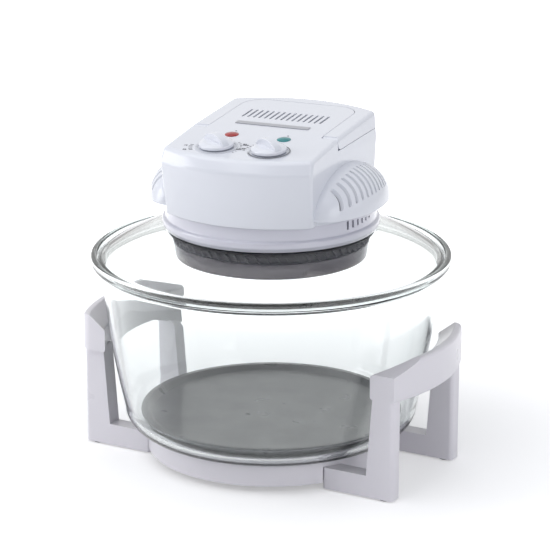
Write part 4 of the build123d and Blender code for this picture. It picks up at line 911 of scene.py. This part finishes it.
# angles in degrees round each knob, from the head's right
markSizes = {"high": 0.25, "timerLeft": (-178, -145, 5, 22.0, 25.5), "timerRight": (-26, 46, 8, 21.0, 23.0),
             "thermoLeft": (148, 184, 5, 22.5, 25.0), "tickWide": 0.6,
             "arcSteps": 48, "arcFrom": -151, "arcTo": 70, "arcIn": 17.7, "arcOut": 19.3, "arcThin": 0.9,
             "arcWide": 1.7, "arcLift": 0.6, "dot": 0.9, "dotBehind": 10.0,
             "timerNumbers": ((-172, 29.0, "10"), (-150, 29.0, "20"), (4, 25.5, "50"), (30, 25.5, "60")),
             "thermoNumbers": ((158, 29.0, "250"), (182, 29.0, "200")), "numberHigh": 3.6}


def buildKnob(name):
    sizes = knobSizes
    knob = spinProfile(name, [(0, 0), (sizes["radius"], 0, 0.5), (sizes["radius"], 2.6, 1.2),
                              (13.4, sizes["skirt"], 1.6), (12.0, 4.6, 1.0), (0, 5.0)], 96)
    # the grip: an upright half disc with a soft outline
    deselectAll()
    bpy.ops.mesh.primitive_cylinder_add(vertices=96, radius=1, depth=1, rotation=(math.pi / 2, 0, 0))
    fin = nameNew("fin")
    applyPlace(fin)
    for vertex in fin.data.vertices:
        vertex.co = (vertex.co.x * sizes["reach"] * mm, vertex.co.y * sizes["wide"] * mm,
                     (sizes["finFoot"] + max(vertex.co.z, -0.25) * (sizes["fin"] - sizes["finFoot"])) * mm)
    openEdit(fin)
    bpy.ops.mesh.remove_doubles(threshold=0.00002)
    bpy.ops.mesh.dissolve_limited(angle_limit=math.radians(0.5))
    closeEdit()
    roundEdges(fin, 1.6, 4, 50)
    cutWith(knob, fin, "UNION")
    return knob


def addTick(x, y, angle, inner, outer, wide, lift=0.0):
    sizes = markSizes
    tick = addBlock("tick", (inner, -wide / 2, 0), (outer, wide / 2, sizes["high"]), 0.08, 1)
    moveTo(tick, panelMatrix(x, y, lift) @ Matrix.Rotation(math.radians(angle), 4, "Z"))
    return tick


def addNumber(x, y, angle, reach, word):
    deselectAll()
    bpy.ops.object.text_add(location=(0, 0, 0))
    number = bpy.context.object
    number.data.body = word
    number.data.size = markSizes["numberHigh"] * mm
    number.data.extrude = markSizes["high"] / 2 * mm
    number.data.align_x = "CENTER"
    number.data.align_y = "CENTER"
    bpy.ops.object.convert(target="MESH")
    turn = math.radians(angle)
    moveTo(number, panelMatrix(x, y) @ Matrix.Translation(
        (reach * math.cos(turn) * mm, reach * math.sin(turn) * mm, markSizes["high"] / 2 * mm)))
    return number


def buildMarks():
    sizes, knob = markSizes, knobSizes
    marks = []
    for side, row in ((-1, "timerLeft"), (-1, "timerRight"), (1, "thermoLeft")):
        first, last, count, inner, outer = sizes[row]
        for i in range(count):
            angle = first + (last - first) * i / (count - 1)
            marks.append(addTick(side * knob["x"], knob["y"], angle, inner, outer, sizes["tickWide"]))
    for side, row in ((-1, "timerNumbers"), (1, "thermoNumbers")):
        for angle, reach, word in sizes[row]:
            marks.append(addNumber(side * knob["x"], knob["y"], angle, reach, word))
    # the dark arc on the thermostat's dial ring, thinner over its second half
    for i in range(sizes["arcSteps"]):
        share = i / (sizes["arcSteps"] - 1)
        angle = sizes["arcFrom"] + (sizes["arcTo"] - sizes["arcFrom"]) * share
        inner = sizes["arcIn"] + sizes["arcThin"] * max(0.0, share * 2 - 1)
        marks.append(addTick(knob["x"], knob["y"], angle, inner, sizes["arcOut"], sizes["arcWide"],
                             sizes["arcLift"]))
    for side in (1, -1):
        dot = addRod("dot", sizes["dot"], 0.0, sizes["high"], 24, 0.08)
        moveTo(dot, panelMatrix(side * lensSizes["x"], lensSizes["y"] + sizes["dotBehind"]))
        marks.append(dot)
    marks = joinPieces(marks, "dialMarks")
    smoothPiece(marks, 40, weighted=False)
    finishPiece(marks, "head", printGrey)


def buildControls():
    sizes = knobSizes
    for word, side in (("timer", -1), ("thermostat", 1)):
        knob = buildKnob(word + "Knob")
        moveTo(knob, panelMatrix(side * sizes["x"], sizes["y"], sizes["lift"])
               @ Matrix.Rotation(math.radians(sizes["angle"]), 4, "Z"))
        smoothPiece(knob, 35)
        finishPiece(knob, word + "_control", whiteHead, [word + "_knob"])
    rings = []
    inner, outer, high = sizes["ringIn"], sizes["ringOut"], sizes["ringHigh"]
    for side in (1, -1):
        ring = spinProfile("dialRing", [(inner, 0), (outer, 0), (outer, high, 0.25), (inner, high, 0.25)],
                           128)
        moveTo(ring, panelMatrix(side * sizes["x"], sizes["y"]))
        rings.append(ring)
    ring = joinPieces(rings, "dialRings")
    smoothPiece(ring, 40)
    finishPiece(ring, "head", ringGrey, ["dial_rings"])
    lenses = (("redLens", "red_lens", -1, redLens), ("greenLens", "green_lens", 1, greenLens))
    for word, node, side, look in lenses:
        radius, high = lensSizes["radius"], lensSizes["high"]
        lens = spinProfile(word, [(0, -6), (5, -6), (5, 0), (radius - 0.4, 0), (radius - 0.5, 0.5, 0.3),
                                  (radius * 0.6, high * 0.8), (radius * 0.3, high * 0.96), (0, high)], 64)
        moveTo(lens, panelMatrix(side * lensSizes["x"], lensSizes["y"]))
        smoothPiece(lens, 40, weighted=False)
        finishPiece(lens, "head", look, [node])
    half, wide = stripSizes["half"], stripSizes["wide"]
    strip = addBlock("nameStrip", (-half, -wide / 2, 0), (half, wide / 2, stripSizes["high"]))
    roundEdges(strip, stripSizes["edge"], 3, 40)
    moveTo(strip, deckMatrix(0, stripSizes["y"]))
    smoothPiece(strip, 40)
    finishPiece(strip, "head", stripMetal, ["name_strip"])


buildControls()
buildMarks()
print("controls built")


# CAD nodes that keep their own shape

nodeLooks = {
    "foot_pads": rubberBlack, "lid_seal": rubberBlack, "frame_screws": steelParts, "clamp_screws": steelParts,
    "casing_screws": steelParts, "bulkhead_screws": steelParts, "motor_bulkhead": steelParts,
    "fan_nut": steelParts, "drive_shaft": steelParts, "lower_bracket": steelParts,
    "upper_bracket": steelParts, "motor_pillars": steelParts, "pivot_pins": steelParts,
    "thermostat_bulb": brightMetal,
    "timer_shaft": steelParts, "thermostat_shaft": steelParts, "tube_clips": steelParts,
    "guard_grille": steelParts, "timer_bell": brightMetal, "thermostat_body": steelParts,
    "halogen_tube": tubeGlass, "reflector": brightMetal, "convection_fan": brightMetal,
    "cooling_fan": brightMetal, "tube_socket": ceramicWhite, "terminal_block": ceramicWhite,
    "shaft_bushes": bronzeMetal, "motor_stator": ironStack, "motor_rotor": ironStack,
    "motor_coils": copperWire, "timer_body": innerWhite, "switch_plunger": innerWhite,
    "safety_switch": blackPlastic, "cord_gland": blackPlastic, "thermal_cutout": blackPlastic,
    "indicator_lamps": lampGlass,
}
for node, look in nodeLooks.items():
    mesh = frame["nodes"][node].data
    mesh.materials.clear()
    mesh.materials.append(look)
print("CAD nodes dressed")


# studio: floor, backdrop light, lamps and camera

studio = {"azimuth": 29.68, "elevation": 17.36, "distance": 2.5, "aim": (0.0, 0.0, 0.150), "lens": 175.69,
          "shiftX": 0.00689, "shiftY": 0.04158}
floorSizes = {"size": 8.0, "near": 0.22, "far": 0.75, "lift": 0.34}
# name, place, aim, size and power of each soft box
lamps = (("topBox", (-0.3, -0.4, 1.7), (0, 0, 0.15), (1.6, 1.6), 9.5),
         ("leftBox", (-1.6, -0.9, 0.75), (0, 0, 0.2), (1.0, 1.2), 12),
         ("rightBox", (1.5, -0.6, 0.8), (0, 0, 0.2), (0.8, 1.2), 5))


def buildFloor():
    deselectAll()
    bpy.ops.mesh.primitive_plane_add(size=floorSizes["size"])
    floor = nameNew("studioFloor")
    material, shader = startMaterial("paleFloor")
    nodes, links = material.node_tree.nodes, material.node_tree.links
    mottle = placeGroup(material, mottleGroup, Light=(0.90, 0.90, 0.91, 1), Dark=(0.885, 0.885, 0.895, 1),
                        Scale=1.5, Gloss=0.7, Dull=0.8)
    links.new(mottle.outputs["Color"], shader.inputs["Base Color"])
    links.new(mottle.outputs["Roughness"], shader.inputs["Roughness"])
    shader.inputs["Specular IOR Level"].default_value = 0.1
    # what is seen of the floor is paper white away from the object, and keeps its shadow under it
    shader.inputs["Emission Color"].default_value = (1, 1, 1, 1)
    place = nodes.new("ShaderNodeTexCoord")
    distance = nodes.new("ShaderNodeVectorMath")
    distance.operation = "LENGTH"
    fade = nodes.new("ShaderNodeMapRange")
    fade.interpolation_type = "SMOOTHSTEP"
    for label, value in (("From Min", floorSizes["near"]), ("From Max", floorSizes["far"]),
                         ("To Min", floorSizes["lift"]), ("To Max", 1.0)):
        fade.inputs[label].default_value = value
    links.new(place.outputs["Object"], distance.inputs[0])
    links.new(distance.outputs["Value"], fade.inputs["Value"])
    lift = nodes.new("ShaderNodeMath")
    lift.operation = "MULTIPLY"
    links.new(seenByViewer(nodes, links), lift.inputs[0])
    links.new(fade.outputs["Result"], lift.inputs[1])
    links.new(lift.outputs["Value"], shader.inputs["Emission Strength"])
    floor.data.materials.append(material)


def seenByViewer(nodes, links):
    # 1 for what is seen straight, in a reflection or through glass
    path = nodes.new("ShaderNodeLightPath")
    total = path.outputs["Is Camera Ray"]
    for label in ("Is Transmission Ray", "Is Glossy Ray"):
        larger = nodes.new("ShaderNodeMath")
        larger.operation = "MAXIMUM"
        links.new(total, larger.inputs[0])
        links.new(path.outputs[label], larger.inputs[1])
        total = larger.outputs["Value"]
    return total


def addCameraSide(nodes, links):
    # the unlit half of the studio, over and behind the camera's place, that glass and gloss pick up
    azimuth = math.radians(studio["azimuth"])
    place = nodes.new("ShaderNodeTexCoord")
    toward = nodes.new("ShaderNodeVectorMath")
    toward.operation = "DOT_PRODUCT"
    toward.inputs[1].default_value = (math.sin(azimuth) * 0.8, -math.cos(azimuth) * 0.8, 0.6)
    links.new(place.outputs["Generated"], toward.inputs[0])
    fade = nodes.new("ShaderNodeMapRange")
    fade.interpolation_type = "SMOOTHSTEP"
    for label, value in (("From Min", 0.15), ("From Max", 0.6), ("To Min", 1.0), ("To Max", 0.22)):
        fade.inputs[label].default_value = value
    links.new(toward.outputs["Value"], fade.inputs["Value"])
    return fade.outputs["Result"]


def buildWorld():
    world = bpy.data.worlds.new("studioWorld")
    bpy.context.scene.world = world
    world.use_nodes = True
    nodes, links = world.node_tree.nodes, world.node_tree.links
    nodes.clear()
    output = nodes.new("ShaderNodeOutputWorld")
    ambient = nodes.new("ShaderNodeBackground")
    ambient.inputs["Color"].default_value = (0.93, 0.95, 1.0, 1)
    ambient.inputs["Strength"].default_value = 0.50
    backdrop = nodes.new("ShaderNodeBackground")
    backdrop.inputs["Color"].default_value = (1, 1, 1, 1)
    links.new(addCameraSide(nodes, links), backdrop.inputs["Strength"])
    mix = nodes.new("ShaderNodeMixShader")
    links.new(seenByViewer(nodes, links), mix.inputs["Fac"])
    links.new(ambient.outputs[0], mix.inputs[1])
    links.new(backdrop.outputs[0], mix.inputs[2])
    links.new(mix.outputs[0], output.inputs["Surface"])


def addLamp(name, place, aim, size, power):
    deselectAll()
    bpy.ops.object.light_add(type="AREA", location=place)
    lamp = bpy.context.object
    lamp.name = name
    lamp.data.shape = "RECTANGLE"
    lamp.data.size, lamp.data.size_y = size
    lamp.data.energy = power
    lamp.rotation_euler = (Vector(aim) - Vector(place)).to_track_quat("-Z", "Y").to_euler()


def buildCamera():
    azimuth, elevation = math.radians(studio["azimuth"]), math.radians(studio["elevation"])
    away = Vector((math.sin(azimuth) * math.cos(elevation), -math.cos(azimuth) * math.cos(elevation),
                   math.sin(elevation)))
    deselectAll()
    bpy.ops.object.camera_add(location=Vector(studio["aim"]) + away * studio["distance"])
    camera = bpy.context.object
    camera.name = "studioCamera"
    camera.rotation_euler = (-away).to_track_quat("-Z", "Y").to_euler()
    camera.data.lens = studio["lens"]
    camera.data.sensor_width = 36.0
    camera.data.shift_x = studio["shiftX"]
    camera.data.shift_y = studio["shiftY"]
    camera.data.clip_end = 50
    bpy.context.scene.camera = camera


buildFloor()
buildWorld()
for lampValues in lamps:
    addLamp(*lampValues)
buildCamera()
bpy.context.scene.view_settings.view_transform = "Standard"
print("studio ready")
